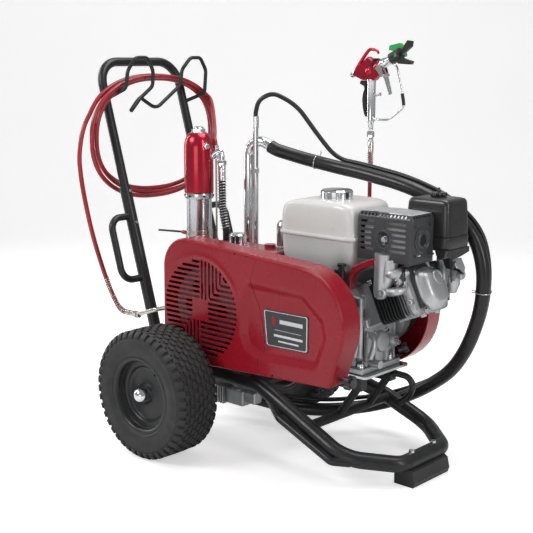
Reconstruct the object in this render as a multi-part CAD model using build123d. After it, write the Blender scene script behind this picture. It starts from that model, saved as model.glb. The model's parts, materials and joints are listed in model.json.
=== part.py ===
from build123d import *
import os
from math import atan2, copysign, cos, degrees, pi, radians, sin, sqrt, tan

# Airless paint sprayer on a two-wheeled cart. Millimetres, +Z up, +X from the handle to the foot.
# Everything is laid out from the point on the ground below the middle of the axle.
# The last step moves it so that the origin is the centre of the foot's underside.

# ---- wheels (13 x 5.00-6 turf tyres) ----
TYRE_RADIUS = 165.0
BEAD_RADIUS = 84.0
TRACK = 520.0
AXLE_RADIUS = 10.0
AXLE_HEIGHT = TYRE_RADIUS
RUNNING_GAP = 0.05
TREAD_NOTCHES = 28

# ---- cart frame ----
CENTRE_Y = 60.0
RAIL_RADIUS = 20.0
RAIL_WALL = 2.5
RAIL_HEIGHT = 185.0
NEAR_RAIL_Y = -85.0
FAR_RAIL_Y = 165.0
FOOT_X = 592.0
BAR_HEIGHT = 55.0
FOOT_LENGTH = 149.0

# ---- handle ----
NEAR_LEG_Y = -84.0
FAR_LEG_Y = 203.0
LEG_FOOT_X = -174.0
LEG_SLOPE = 0.302
LOWER_TUBE_RADIUS = 16.0
UPPER_TUBE_RADIUS = 12.5
LOWER_TUBE_TOP = 643.0
UPPER_TUBE_END = 470.0
HANDLE_TOP = 982.0
HANDLE_BEND = 66.0
GRIP_RADIUS = 9.5
GRIP_REACH = 75.0
GRIP_HEIGHTS = (400.0, 565.0)
BUTTON_HEIGHTS = (545.0, 630.0)

# ---- belt guard ----
GUARD_FACE_Y = -160.0
GUARD_BACK_Y = -97.0
GUARD_WALL = 3.0
VENT_X = 59.0
VENT_Z = 368.0
VENT_RADIUS = 129.0
VENT_PITCH = 12.9
SLOT_WIDTH = 5.4

# ---- engine ----
CRANK_X = 372.0
CRANK_Z = 373.0
ENGINE_Y = 80.0
PLATE_TOP = 237.0
PLATE_THICKNESS = 6.0
CYLINDER_TILT = 25.0
SHAFT_RADIUS = 12.5

# ---- pump ----
PUMP_X = -116.0
PUMP_Y = 10.0
PUMP_SHAFT_X = 59.0
PUMP_SHAFT_Z = 368.0

# ---- hoses ----
PAINT_HOSE_RADIUS = 5.3
SUCTION_HOSE_RADIUS = 17.5
BLEED_HOSE_RADIUS = 6.0
COIL_CENTRE = (74.0, 774.0)
COIL_HALF_WIDTH = 238.0
COIL_HALF_HEIGHT = 170.0
COIL_FIRST_X = -369.0
COIL_PITCH = 11.6

# ---- spray gun ----
GUN_X = 262.0
GUN_Y = 270.0
GUN_HANDLE_BOTTOM = 831.0

LEG_NORMAL = Vector(1, 0, LEG_SLOPE).normalized()


# ---------------------------------------------------------------- helpers

def leg_x(z):
    return LEG_FOOT_X - (z - RAIL_HEIGHT) * LEG_SLOPE


def placed(shape, at, z_dir=(0, 0, 1), x_dir=None):
    return Plane(origin=at, z_dir=z_dir, x_dir=x_dir).location * shape


def outline(points):
    return make_face(Polyline(*points, close=True))


def turned(profile, at=(0, 0, 0), z_dir=(0, 0, 1)):
    """Solid of revolution of (radius, height) points about an axis through at."""
    face = outline([(r, 0, z) for r, z in profile])
    return placed(revolve(face, axis=Axis.Z), at, z_dir)


def rod(start, end, radius, inner=0.0):
    start = Vector(start)
    span = Vector(end) - start
    section = Circle(radius) - Circle(inner) if inner else Circle(radius)
    return placed(extrude(section, amount=span.length), start, span)


def swept(path, radius, inner=0.0):
    section = Circle(radius) - Circle(inner) if inner else Circle(radius)
    start = Plane(origin=path @ 0, z_dir=path % 0)
    return sweep(start.location * section, path=path)


def tube(points, bend, radius, inner=0.0):
    return swept(FilletPolyline(*points, radius=bend), radius, inner)


def soft_line(points, bend=500.0):
    """Chain of straights and arcs through a list of points, each corner rounded as far as it can be."""
    radii = []
    for a, b, c in zip(points, points[1:], points[2:]):
        into = Vector(b) - Vector(a)
        out = Vector(c) - Vector(b)
        turn = radians(into.get_angle(out))
        reach = 0.48 * min(into.length, out.length)
        radii.append(min(bend, reach / tan(turn / 2)))
    return FilletPolyline(*points, radius=radii)


def hose(points, radius):
    return swept(soft_line(points), radius)


def block(low, high, edge=0.0):
    size = [b - a for a, b in zip(low, high)]
    middle = [(a + b) / 2 for a, b in zip(low, high)]
    solid = Pos(*middle) * Box(*size)
    return fillet(solid.edges(), edge) if edge else solid


def hexagon(at, z_dir, across_flats, length):
    prism = extrude(RegularPolygon(across_flats / 2, 6, major_radius=False), amount=length)
    return placed(prism, at, z_dir)


def bolt(at, z_dir, shank, length, head_flats, head_length):
    """Hex bolt whose head sits at `at` and whose shank runs against z_dir."""
    head = hexagon(at, z_dir, head_flats, head_length)
    shank_end = Vector(at) - Vector(z_dir).normalized() * length
    return head + rod(at, shank_end, shank)


# ---------------------------------------------------------------- wheels

TYRE_PROFILE = [
    (BEAD_RADIUS, 44), (BEAD_RADIUS + 6, 50), (100, 59), (118, 63.5), (138, 62), (144, 60),
    (150, 58.5), (158, 53), (163, 44), (165, 32), (165, -32), (163, -44), (158, -53),
    (150, -58.5), (144, -60), (138, -62), (118, -63.5), (100, -59), (BEAD_RADIUS + 6, -50),
    (BEAD_RADIUS, -44), (92, -40), (102, -49), (120, -54), (138, -53), (150, -45), (153, -30),
    (153, 30), (150, 45), (138, 53), (120, 54), (102, 49), (92, 40),
]

# Pressed-steel rim: bead seats, drop centre and a dished disc around the hub tube.
RIM_PROFILE = [
    (84, 53), (92, 55.5), (92, 52.4), (83.9, 48), (83.9, -48), (92, -52.4), (92, -55.5), (84, -53),
    (80, -48), (80, 20), (66, 24), (60, 16), (24, 22), (24, 45), (15, 45), (15, -45), (12, -45),
    (12, 52), (27, 52), (27, 30), (58, 24), (64, 32), (80, 28),
]


def wheel_centre(side):
    return (0, side * TRACK / 2, AXLE_HEIGHT)


def tyre(side):
    body = turned(TYRE_PROFILE)
    notch = Box(16, 7, 18)
    cutters = []
    for i in range(TREAD_NOTCHES):
        angle = 360 / TREAD_NOTCHES * i
        cutters.append(Rot(0, 0, angle) * Pos(TYRE_RADIUS, 0, 50) * notch)
        cutters.append(Rot(0, 0, angle + 180 / TREAD_NOTCHES) * Pos(TYRE_RADIUS, 0, -50) * notch)
    body = body - cutters
    for height in (-27, -9, 9, 27):
        groove = Pos(0, 0, height) * (Cylinder(TYRE_RADIUS + 1, 4) - Cylinder(TYRE_RADIUS - 5, 4))
        body = body - groove
    return placed(body, wheel_centre(side), (0, side, 0))


def rim(side):
    hub = [(AXLE_RADIUS + RUNNING_GAP, 52), (12, 52), (12, -45), (AXLE_RADIUS + RUNNING_GAP, -45)]
    body = turned(RIM_PROFILE) + turned(hub)
    return placed(body, wheel_centre(side), (0, side, 0))


def hub_cap(side):
    dome = [(0, 62), (10, 61), (17, 57), (21, 50), (22.5, 42), (22.5, 30.5), (26.9, 30.5)]
    dome = [(r, z + 32) for r, z in dome]
    inside = [(26.9, 60.5), (20.5, 60.5), (20.5, 74), (19.5, 81), (15.5, 87), (9, 90.5), (0, 91.5)]
    body = turned(dome + inside)
    return placed(body, wheel_centre(side), (0, side, 0))


def axle():
    half = TRACK / 2 + 64
    shaft = rod((0, -half, AXLE_HEIGHT), (0, half, AXLE_HEIGHT), AXLE_RADIUS)
    for side in (-1, 1):
        outer = placed(Cylinder(16, 3), (0, side * (TRACK / 2 + 54), AXLE_HEIGHT), (0, 1, 0))
        inner = placed(Cylinder(15, 3), (0, side * (TRACK / 2 - 47), AXLE_HEIGHT), (0, 1, 0))
        shaft = shaft + outer + inner
    return shaft


# ---------------------------------------------------------------- cart frame

def main_rail():
    near = [(LEG_FOOT_X, NEAR_RAIL_Y, RAIL_HEIGHT), (193, -87, RAIL_HEIGHT), (488, -112, 68)]
    front = [(FOOT_X, -25, BAR_HEIGHT), (FOOT_X, 145, BAR_HEIGHT)]
    far = [(488, 232, 68), (360, 226, 119), (215, FAR_RAIL_Y + 6, RAIL_HEIGHT - 3)]
    rear = [(150, FAR_RAIL_Y, RAIL_HEIGHT), (LEG_FOOT_X, FAR_RAIL_Y, RAIL_HEIGHT)]
    bends = (120, 110, 42, 42, 110, 60, 60, 60)
    return FilletPolyline(*near, *front, *far, *rear, radius=bends)


def lower_leg(y):
    start = (leg_x(RAIL_HEIGHT), y, RAIL_HEIGHT)
    end = (leg_x(LOWER_TUBE_TOP), y, LOWER_TUBE_TOP)
    return rod(start, end, LOWER_TUBE_RADIUS)


def lower_leg_bore(y):
    start = (leg_x(RAIL_HEIGHT + 30), y, RAIL_HEIGHT + 30)
    end = (leg_x(LOWER_TUBE_TOP + 20), y, LOWER_TUBE_TOP + 20)
    return rod(start, end, UPPER_TUBE_RADIUS + RUNNING_GAP)


def side_grip(y, side):
    low, high = GRIP_HEIGHTS
    points = [
        (leg_x(low), y + side * 10, low), (leg_x(low), y + side * GRIP_REACH, low),
        (leg_x(high), y + side * GRIP_REACH, high), (leg_x(high), y + side * 10, high),
    ]
    return tube(points, 34, GRIP_RADIUS)


def gun_hanger():
    points = [(205, 170, 195), (205, 172, 520), (250, 258, 596), (250, 264, 620)]
    post = tube(points, 12, 4)
    clip = rod((GUN_X, GUN_Y, 608), (GUN_X, GUN_Y, 624), 10)
    return post + clip


def cradle():
    """Cross members, engine beams and the struts that carry the engine plate."""
    parts = []
    for x in (LEG_FOOT_X, 60, 185):
        parts.append(rod((x, NEAR_RAIL_Y, RAIL_HEIGHT), (x, FAR_RAIL_Y, RAIL_HEIGHT), 15))
    parts.append(rod((LEG_FOOT_X, FAR_RAIL_Y, RAIL_HEIGHT), (LEG_FOOT_X, FAR_LEG_Y, RAIL_HEIGHT), 15))
    beam_top = PLATE_TOP - PLATE_THICKNESS
    for y in (15, 135):
        parts.append(block((45, y - 12, 196), (448, y + 12, 206)))
        parts.append(block((45, y - 12, 206), (75, y + 12, beam_top)))
        parts.append(block((290, y - 12, 206), (448, y + 12, beam_top)))
        parts.append(rod((430, y, 200), (372, y, 118), 10))
    parts.append(rod((372, -105, 118), (372, 226, 118), 12))
    for x in (-40, 160):
        parts.append(block((x, GUARD_BACK_Y + 3, 196), (x + 30, GUARD_BACK_Y + 6, 262)))
    return parts


def cart_frame():
    path = main_rail()
    body = swept(path, RAIL_RADIUS)
    body = body + rod((0, NEAR_RAIL_Y - 24, AXLE_HEIGHT), (0, FAR_RAIL_Y + 20, AXLE_HEIGHT), 16)
    for y in (NEAR_LEG_Y, FAR_LEG_Y):
        body = body + lower_leg(y)
    body = body + side_grip(NEAR_LEG_Y, -1) + side_grip(FAR_LEG_Y, 1)
    for part in cradle():
        body = body + part
    body = body + tube([(232, -93, 158), (300, -128, 128), (468, -134, 62), (505, -108, 60)], 20, 10)
    body = body + gun_hanger()
    body = body - swept(path, RAIL_RADIUS - RAIL_WALL)
    body = body + rod((0, NEAR_RAIL_Y - 24, AXLE_HEIGHT), (0, FAR_RAIL_Y + 20, AXLE_HEIGHT), 16)
    for y in (NEAR_LEG_Y, FAR_LEG_Y):
        body = body - lower_leg_bore(y)
        for height in BUTTON_HEIGHTS:
            body = body - button_solid(y, height, 4.05)
    body = body - rod((0, -200, AXLE_HEIGHT), (0, 200, AXLE_HEIGHT), AXLE_RADIUS)
    body = body - rod((GUN_X, GUN_Y, 600), (GUN_X, GUN_Y, 630), PAINT_HOSE_RADIUS + 0.05)
    for y in (CENTRE_Y - 45, CENTRE_Y + 45):
        body = body - rod((FOOT_X, y, 0), (FOOT_X, y, 90), 4)
    for x, y in ENGINE_BOLTS:
        body = body - rod((x, y, 180), (x, y, 240), 4.5)
    return body


def button_solid(y, height, radius):
    at = Vector(leg_x(height), y, height)
    return rod(at + LEG_NORMAL * 12.9, at + LEG_NORMAL * 19, radius)


def lock_buttons():
    solids = []
    for y in (NEAR_LEG_Y, FAR_LEG_Y):
        for height in BUTTON_HEIGHTS:
            solids.append(button_solid(y, height, 4))
    return Compound(solids)


def foot_pad():
    side = [(-28, 0), (26, 0), (30, 12), (24, 38), (12, 44), (-20, 44), (-28, 30)]
    face = outline([(FOOT_X + x, 0, z) for x, z in side])
    body = extrude(face, amount=FOOT_LENGTH / 2, dir=(0, 1, 0), both=True)
    body = Pos(0, CENTRE_Y, 0) * body
    body = body - swept(main_rail(), RAIL_RADIUS + 0.02)
    for y in (CENTRE_Y - 45, CENTRE_Y + 45):
        body = body - rod((FOOT_X, y, 8), (FOOT_X, y, 90), 4)
    return body


ENGINE_BOLTS = [(300, 15), (300, 135), (436, 15), (436, 135)]


def frame_bolts():
    solids = []
    for y in (CENTRE_Y - 45, CENTRE_Y + 45):
        solids.append(bolt((FOOT_X, y, BAR_HEIGHT + RAIL_RADIUS + 0.02), (0, 0, 1), 3.9, 60, 13, 6))
    for x, y in ENGINE_BOLTS:
        solids.append(bolt((x, y, PLATE_TOP + 16), (0, 0, 1), 4.4, 38, 14, 8))
    return Compound(solids)


def engine_plate():
    low = PLATE_TOP - PLATE_THICKNESS
    body = block((280, -6, low), (468, 175, PLATE_TOP))
    body = fillet(body.edges().filter_by(Axis.Z), 10)
    for x, y in ENGINE_BOLTS:
        body = body - rod((x, y, low - 5), (x, y, PLATE_TOP + 5), 4.5)
    body = body - block((352, 40, low - 1), (392, 110, PLATE_TOP + 1))
    return body


# ---------------------------------------------------------------- belt guard

GUARD_CORNERS = [(-80, 217), (-76, 548), (572, 509), (478, 246)]
GUARD_BENDS = (6, 80, 136, 8)
GUARD_SPLIT = [(264, 534), (251, 513), (233, 466), (240, 437), (257, 405), (271, 347), (272, 301),
               (258, 273), (255, 230)]


def guard_outline(inset=0.0):
    path = FilletPolyline(*[(x, 0, z) for x, z in GUARD_CORNERS], radius=GUARD_BENDS, close=True)
    face = make_face(path)
    return offset(face, amount=-inset) if inset else face


def slab(face, near_y, far_y):
    body = extrude(face, amount=far_y - near_y, dir=(0, 1, 0))
    return Pos(0, near_y, 0) * body


def slot_solid(u0, v0, u1, v1):
    """Round-ended slot between two points of the vent face, through the guard's wall."""
    half = SLOT_WIDTH / 2
    near = GUARD_FACE_Y - 2
    far = GUARD_FACE_Y + 8
    start = (VENT_X + u0, VENT_Z + v0)
    end = (VENT_X + u1, VENT_Z + v1)
    if abs(u1 - u0) + abs(v1 - v0) < SLOT_WIDTH:
        return [rod((start[0], near, start[1]), (start[0], far, start[1]), half)]
    if v0 == v1:
        bar = block((start[0], near, start[1] - half), (end[0], far, start[1] + half))
    else:
        bar = block((start[0] - half, near, start[1]), (start[0] + half, far, end[1]))
    caps = [rod((x, near, z), (x, far, z), half) for x, z in (start, end)]
    return [bar + caps[0] + caps[1]]


def vent_slots():
    """Half of the pinwheel; the other half is the same turned by 180 degrees about the centre."""
    solids = []
    reach = VENT_RADIUS - 4
    hub = 2.4 * VENT_PITCH
    rows = int(reach / VENT_PITCH)
    for row in range(-rows, rows + 1):
        v = (row + 0.5) * VENT_PITCH
        if abs(v) >= reach:
            continue
        left = -sqrt(reach * reach - v * v)
        if v > hub:
            right = -3.5
        elif v > -hub:
            right = -hub
        else:
            right = v - 5
        if right - left > -1:
            solids.append((left, v, max(left, right), v))
    for column in range(1, rows + 1):
        u = (column - 0.4) * VENT_PITCH
        top = sqrt(max(reach * reach - u * u, 0.0))
        bottom = max(u + 3, hub)
        if top - bottom > -1:
            solids.append((u, bottom, u, max(bottom, top)))
    cutters = []
    for u0, v0, u1, v1 in solids:
        cutters += slot_solid(u0, v0, u1, v1)
        cutters += slot_solid(-u1, -v1, -u0, -v0) if v0 == v1 else slot_solid(-u0, -v1, -u1, -v0)
    return cutters


def guard_shell():
    shell = slab(guard_outline(), GUARD_FACE_Y, GUARD_BACK_Y)
    front_edges = shell.edges().group_by(Axis.Y)[0]
    shell = fillet(front_edges, 7)
    shell = shell - slab(guard_outline(GUARD_WALL), GUARD_FACE_Y + GUARD_WALL, GUARD_BACK_Y + 1)
    return shell


def guard_region(gap):
    points = [(x + gap, z) for x, z in GUARD_SPLIT]
    edge = Spline(*[(x, 0, z) for x, z in points])
    border = Polyline((points[-1][0], 0, points[-1][1]), (points[-1][0], 0, 180), (620, 0, 180),
                      (620, 0, 600), (points[0][0], 0, 600), (points[0][0], 0, points[0][1]))
    face = make_face(Wire([edge] + list(border.edges())))
    return slab(face, GUARD_FACE_Y - 5, GUARD_BACK_Y + 5)


BADGE_CORNERS = [(271, 403), (413, 405), (412, 317), (281, 313)]
PANEL_CORNERS = [(214, 461), (398, 454), (462, 405), (474, 360), (443, 284), (257, 275), (216, 291),
                 (199, 330)]


def badge_face(inset=0.0):
    path = FilletPolyline(*[(x, 0, z) for x, z in BADGE_CORNERS], radius=5, close=True)
    face = make_face(path)
    return offset(face, amount=-inset) if inset else face


def guard_panel():
    path = FilletPolyline(*[(x, 0, z) for x, z in PANEL_CORNERS], radius=14, close=True)
    return slab(make_face(path), GUARD_FACE_Y - 1, GUARD_FACE_Y + 1.2)


KNOB_AT = (508, -128, 262)


def guard_pieces():
    shell = guard_shell() - guard_panel()
    knob_hole = rod((470, KNOB_AT[1], KNOB_AT[2]), (530, KNOB_AT[1], KNOB_AT[2]), 4.5)
    front = (shell & guard_region(0.3)) - knob_hole
    rear = shell - guard_region(-0.3)
    rear = rear - vent_slots()
    crescent = turned([(134, 0), (141, 0), (141, 3), (134, 3)], (VENT_X, GUARD_FACE_Y, VENT_Z), (0, -1, 0))
    keep = block((VENT_X - 90, GUARD_FACE_Y - 10, VENT_Z + 60),
                 (VENT_X + 133, GUARD_FACE_Y + 10, VENT_Z + 150))
    rear = rear + (crescent & keep)
    return rear, front


def guard_badge():
    plate = slab(badge_face(), GUARD_FACE_Y - 0.6, GUARD_FACE_Y + 1.2)
    return plate - slab(badge_face(4), GUARD_FACE_Y - 0.6, GUARD_FACE_Y - 0.2)


def guard_back_plate():
    plate = slab(guard_outline(GUARD_WALL + 0.2), GUARD_BACK_Y - 3, GUARD_BACK_Y)
    plate = plate + slab(guard_outline(30) - guard_outline(33), GUARD_BACK_Y, GUARD_BACK_Y + 3)
    for x, z, radius in ((CRANK_X, CRANK_Z, 30), (PUMP_SHAFT_X, PUMP_SHAFT_Z, 24)):
        plate = plate - rod((x, GUARD_BACK_Y - 10, z), (x, GUARD_BACK_Y + 10, z), radius)
    stud = rod((474, KNOB_AT[1], KNOB_AT[2]), (521, KNOB_AT[1], KNOB_AT[2]), 4)
    tab = block((470, KNOB_AT[1] - 9, 256), (473.5, GUARD_BACK_Y - 3, 270))
    tab = tab + block((470, KNOB_AT[1] - 9, 256), (476.5, KNOB_AT[1] + 9, 270))
    return plate + tab + stud


def guard_knob():
    lobes = []
    for i in range(4):
        direction = Vector(0, cos(pi / 4 + i * pi / 2), sin(pi / 4 + i * pi / 2))
        centre = Vector(KNOB_AT) + direction * 12
        lobes.append(rod(centre, centre + Vector(14, 0, 0), 6.5))
    body = rod(KNOB_AT, (KNOB_AT[0] + 20, KNOB_AT[1], KNOB_AT[2]), 11)
    for lobe in lobes:
        body = body + lobe
    return body - rod((500, KNOB_AT[1], KNOB_AT[2]), (522, KNOB_AT[1], KNOB_AT[2]), 4 + RUNNING_GAP)


# ---------------------------------------------------------------- belt drive

PULLEY_Y = -130.0
SMALL_PULLEY = 46.0
LARGE_PULLEY = 104.0


def grooved(radius, width, hub, bore):
    half = width / 2
    return [(bore, -half - 14), (hub, -half - 14), (hub, -half), (radius, -half), (radius, -half + 1.5),
            (radius - 9, -3), (radius - 9, 3), (radius, half - 1.5), (radius, half), (hub, half),
            (bore, half)]


def engine_pulley():
    body = turned(grooved(SMALL_PULLEY, 18, 24, 0), (CRANK_X, PULLEY_Y, CRANK_Z), (0, -1, 0))
    shaft = rod((CRANK_X, PULLEY_Y, CRANK_Z), (CRANK_X, 150, CRANK_Z), SHAFT_RADIUS)
    web = rod((CRANK_X, 58, CRANK_Z), (CRANK_X, 102, CRANK_Z), 30)
    flywheel = rod((CRANK_X, 182, CRANK_Z), (CRANK_X, 210, CRANK_Z), 95)
    tail = rod((CRANK_X, 150, CRANK_Z), (CRANK_X, 212, CRANK_Z), SHAFT_RADIUS)
    return body + shaft + web + flywheel + tail


def pump_pulley():
    disc = turned(grooved(LARGE_PULLEY, 18, 20, 0), (PUMP_SHAFT_X, PULLEY_Y, PUMP_SHAFT_Z), (0, -1, 0))
    for i in range(6):
        angle = i * pi / 3
        x = PUMP_SHAFT_X + 56 * cos(angle)
        z = PUMP_SHAFT_Z + 56 * sin(angle)
        disc = disc - rod((x, PULLEY_Y - 20, z), (x, PULLEY_Y + 20, z), 20)
    shaft = rod((PUMP_SHAFT_X, PULLEY_Y, PUMP_SHAFT_Z), (PUMP_SHAFT_X, -62, PUMP_SHAFT_Z), 11)
    return disc + shaft


def belt_loop(grow, depth):
    """Solid bounded by the two pulley circles and the straight runs between them."""
    near = Vector(PUMP_SHAFT_X, 0, PUMP_SHAFT_Z)
    far = Vector(CRANK_X, 0, CRANK_Z)
    near_radius = LARGE_PULLEY - 9 + grow
    far_radius = SMALL_PULLEY - 9 + grow
    span = far - near
    tilt = atan2(span.Z, span.X)
    lean = (near_radius - far_radius) / span.length
    rise = sqrt(1 - lean * lean)
    corners = []
    for centre, radius, signs in ((near, near_radius, (1, -1)), (far, far_radius, (-1, 1))):
        for sign in signs:
            x = lean * cos(tilt) - sign * rise * sin(tilt)
            z = lean * sin(tilt) + sign * rise * cos(tilt)
            corners.append((centre.X + radius * x, 0, centre.Z + radius * z))
    body = slab(outline(corners), PULLEY_Y - depth, PULLEY_Y + depth)
    for centre, radius in ((near, near_radius), (far, far_radius)):
        start = (centre.X, PULLEY_Y - depth, centre.Z)
        body = body + rod(start, (centre.X, PULLEY_Y + depth, centre.Z), radius)
    return body


def drive_belt():
    """Vee belt round both pulleys, seated in their grooves with a hair of clearance."""
    return belt_loop(7, 2.8) - belt_loop(0.2, 4)


# ---------------------------------------------------------------- hydraulics

TANK_LOW = (-62, -58, 235)
TANK_HIGH = (186, 64, 510)


def hydraulic_tank():
    body = fillet(block(TANK_LOW, TANK_HIGH).edges().filter_by(Axis.Z), 14)
    body = fillet(body.faces().sort_by(Axis.Z)[-1].edges(), 8)
    cavity = block([v + 3 for v in TANK_LOW], [v - 3 for v in TANK_HIGH])
    body = body - (cavity - rod((PUMP_SHAFT_X, -70, PUMP_SHAFT_Z), (PUMP_SHAFT_X, 20, PUMP_SHAFT_Z), 46))
    body = body - rod((PUMP_SHAFT_X, -90, PUMP_SHAFT_Z), (PUMP_SHAFT_X, 10, PUMP_SHAFT_Z), 11 + RUNNING_GAP)
    for y in (-30, 44):
        body = body + block((45, y - 10, 200.02), (75, y + 10, 238))
    neck = rod((38, 0, 505), (38, 0, 524), 17, 13)
    body = body - rod((38, 0, 500), (38, 0, 515), 13)
    body = body + neck
    body = body + rod((118, 38, 508), (118, 38, 518), 15)
    return body


def hydraulic_cap():
    profile = [(0, 542), (19, 542), (23, 538), (23, 513), (17 + RUNNING_GAP, 513),
               (17 + RUNNING_GAP, 525), (0, 525)]
    body = turned(profile, (38, 0, 0))
    for i in range(12):
        angle = i * pi / 6
        body = body - rod((38 + 24 * cos(angle), 24 * sin(angle), 515),
                          (38 + 24 * cos(angle), 24 * sin(angle), 545), 2)
    return body


def filter_canister():
    profile = [(0, 510), (20, 510), (20, 516), (17, 518), (17, 572), (14, 580), (8, 584), (0, 584)]
    return turned(profile, (160, 42, 0))


def hydraulic_housing():
    """Finned motor-driven pump housing slung below the frame, with its smooth end."""
    body = block((-46, -52, 96), (34, -6, 134), 4)
    for i in range(10):
        x = -44 + i * 8.5
        body = body + block((x, -58, 90), (x + 3.5, 0, 138))
    body = body + block((36, -50, 92), (100, -8, 136), 6)
    body = body + block((96, -44, 104), (138, -14, 136), 5)
    body = body + block((52, -40, 130), (68, -20, 169.9))
    return body


def pump_cap():
    profile = [(0, 800), (14, 800), (30, 795), (38, 782), (39.5, 764), (39.5, 637), (34, 637), (34, 760),
               (0, 770)]
    body = turned(profile, (PUMP_X, PUMP_Y, 0))
    nut = hexagon((PUMP_X, PUMP_Y, 798), (0, 0, 1), 34, 10)
    lens = rod((PUMP_X, PUMP_Y, 805), (PUMP_X, PUMP_Y, 814), 13)
    plug_at = (PUMP_X + 37, PUMP_Y - 8, 762)
    plug = hexagon(plug_at, (1, -0.2, 0), 16, 9)
    return body + nut + lens + plug


def pump_cylinder():
    profile = [(33, 757), (33, 637), (36.5, 636.9), (36.5, 624), (33, 624), (33, 537), (28, 537), (28, 757)]
    body = turned(profile, (PUMP_X, PUMP_Y, 0))
    for i in range(4):
        angle = radians(-60 + i * 90)
        x = PUMP_X + 36 * cos(angle)
        y = PUMP_Y + 36 * sin(angle)
        body = body + placed(Cylinder(3, 5), (x, y, 630), (cos(angle), sin(angle), 0))
    return body


HOSE_TOP = (PUMP_X + 57, PUMP_Y + 30, 672)


def hose_elbow():
    x, y, z = HOSE_TOP
    elbow = tube([(PUMP_X + 20, PUMP_Y + 10.5, z + 34), (x, y, z + 34), (x, y, z)], 16, 9)
    return elbow - rod((PUMP_X, PUMP_Y, 600), (PUMP_X, PUMP_Y, 760), 39.55)


def fluid_section():
    profile = [(0, 148), (16, 148), (16, 190), (30, 192), (30, 232), (34, 236), (34, 300), (30, 305),
               (30, 505),
               (35, 510), (35, 536.9), (14.5, 536.9), (14.5, 250), (0, 244)]
    body = turned(profile, (PUMP_X, PUMP_Y, 0))
    body = body + block((PUMP_X + 28, PUMP_Y - 16, 262), (TANK_LOW[0], PUMP_Y + 16, 300))
    x, y, z = LEVER_PIVOT
    boss = rod((x, y, z - 14), (x, y, z - 3.1), 6) + block((x, y - 5, z - 14),
                                                           (PUMP_X - 20, y + 5, z - 3.1))
    return body + (boss - rod((PUMP_X, PUMP_Y, 500), (PUMP_X, PUMP_Y, 540), 20))


def piston_rod():
    profile = [(0, 262), (14.4, 262), (14.4, 282), (9, 284), (9, 545), (27.9, 547), (27.9, 565), (9, 567),
               (9, 700), (0, 700)]
    return turned(profile, (PUMP_X, PUMP_Y, 0))


LEVER_PIVOT = (PUMP_X - 42, PUMP_Y - 5, 520)


def valve_lever():
    x, y, z = LEVER_PIVOT
    shaft = rod(LEVER_PIVOT, (x - 78, y - 29, z + 8), 3)
    tip = rod((x - 62, y - 23, z + 6.4), (x - 82, y - 30.5, z + 8.4), 4.2)
    shaft = shaft + rod((x, y, z - 3), (x, y, z + 3), 6)
    return shaft + tip


def hydraulic_hose():
    x, y, z = HOSE_TOP
    nut = hexagon((x, y, z - 12), (0, 0, 1), 22, 12)
    crimp = rod((x, y, z - 42), (x, y, z - 11), 10)
    line = rod((x, y, z - 40), (x, y, z - 70), 8)
    line = line + hose([(x, y, z - 66), (x, y, z - 86), (x + 18, y - 3, z - 125),
                        (x + 18, y - 3, 510.05)], 8)
    body = nut + crimp + line + hose_elbow()
    for i in range(5):
        body = body + placed(Torus(8.6, 1.5), (x, y, z - 46 - 6 * i))
    return body


GOOSENECK_TOP = (-22, 107, 796)
GOOSENECK_END = (42, 122.2, 762.4)


def siphon_tube():
    path = FilletPolyline((-22, 107, 330), GOOSENECK_TOP, GOOSENECK_END, radius=36)
    body = swept(path, 14, 12.5)
    strainer = rod((-22, 107, 296), (-22, 107, 336), 20)
    clamp = rod((-22, 107, 398), (-22, 107, 410), 17, 13.5)
    bracket = block((-34, TANK_HIGH[1], 400), (-10, 92, 408))
    return body + strainer + clamp + bracket


def return_tube():
    body = rod((30, 78, 300), (30, 78, 838), 7)
    body = body + hexagon((30, 78, 694), (0, 0, 1), 17, 12)
    body = body + rod((30, 78, 812), (30, 78, 842), 8.5)
    return body + block((22, TANK_HIGH[1], 420), (38, 76, 428))


SUCTION_POINTS = [
    (42.5, 122.3, 762.1), (60, 126.5, 753), (113, 158, 735), (200, 188, 715), (283, 200, 703),
    (424, 207, 680), (535, 226, 637),
    (607, 240, 567), (633, 243, 488), (629, 244, 389), (594, 248, 290), (540, 262, 212), (440, 280, 136),
    (318, 272, 72), (227, 165, 60), (131, 108, 60), (-16, 98, 62), (-84, 62, 76), (-113, 18, 112),
    (PUMP_X, PUMP_Y, 134), (PUMP_X, PUMP_Y, 147.8),
]


def suction_hose():
    return hose(SUCTION_POINTS, SUCTION_HOSE_RADIUS)


def bleed_hose():
    """Small return hose that arches over from its tube and is tied along the suction hose."""
    offsets = [(0, 18, 19), (0, 18, 19), (0, 18, 19), (0, 20, 18), (6, 23, 13), (0, 27, 4), (0, 27, 0),
               (0, 27, 0),
               (-4, 26, 4), (-10, 22, 12), (-10, 18, 19), (-12, 8, 24), (-6, 6, 26), (0, 6, 26)]
    start = [(30, 78, 842.2), (30, 78, 852), (38, 80, 884), (72, 98, 905), (118, 140, 872), (160, 182, 790)]
    run = [tuple(a + b for a, b in zip(p, d)) for p, d in zip(SUCTION_POINTS[3:17], offsets)]
    end = [(-80, 88, 118), (-98, 70, 160), (-100, 62, 200), (-100, 62, 222)]
    return hose(start + run + end, BLEED_HOSE_RADIUS)


def hose_ties():
    solids = []
    for low, high in ((3, 4), (9, 10)):
        a = Vector(*SUCTION_POINTS[low])
        b = Vector(*SUCTION_POINTS[high])
        middle = (a + b) * 0.5
        side = Vector(0, 12, 12) if low == 3 else Vector(0, 17, 0)
        band = Cylinder(36, 3) - Cylinder(34.5, 4)
        solids.append(placed(band, middle + side, b - a))
    return Compound(solids)


# ---------------------------------------------------------------- paint hose

def rounded(value, power=2.3):
    return copysign(abs(value) ** (2 / power), value)


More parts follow.
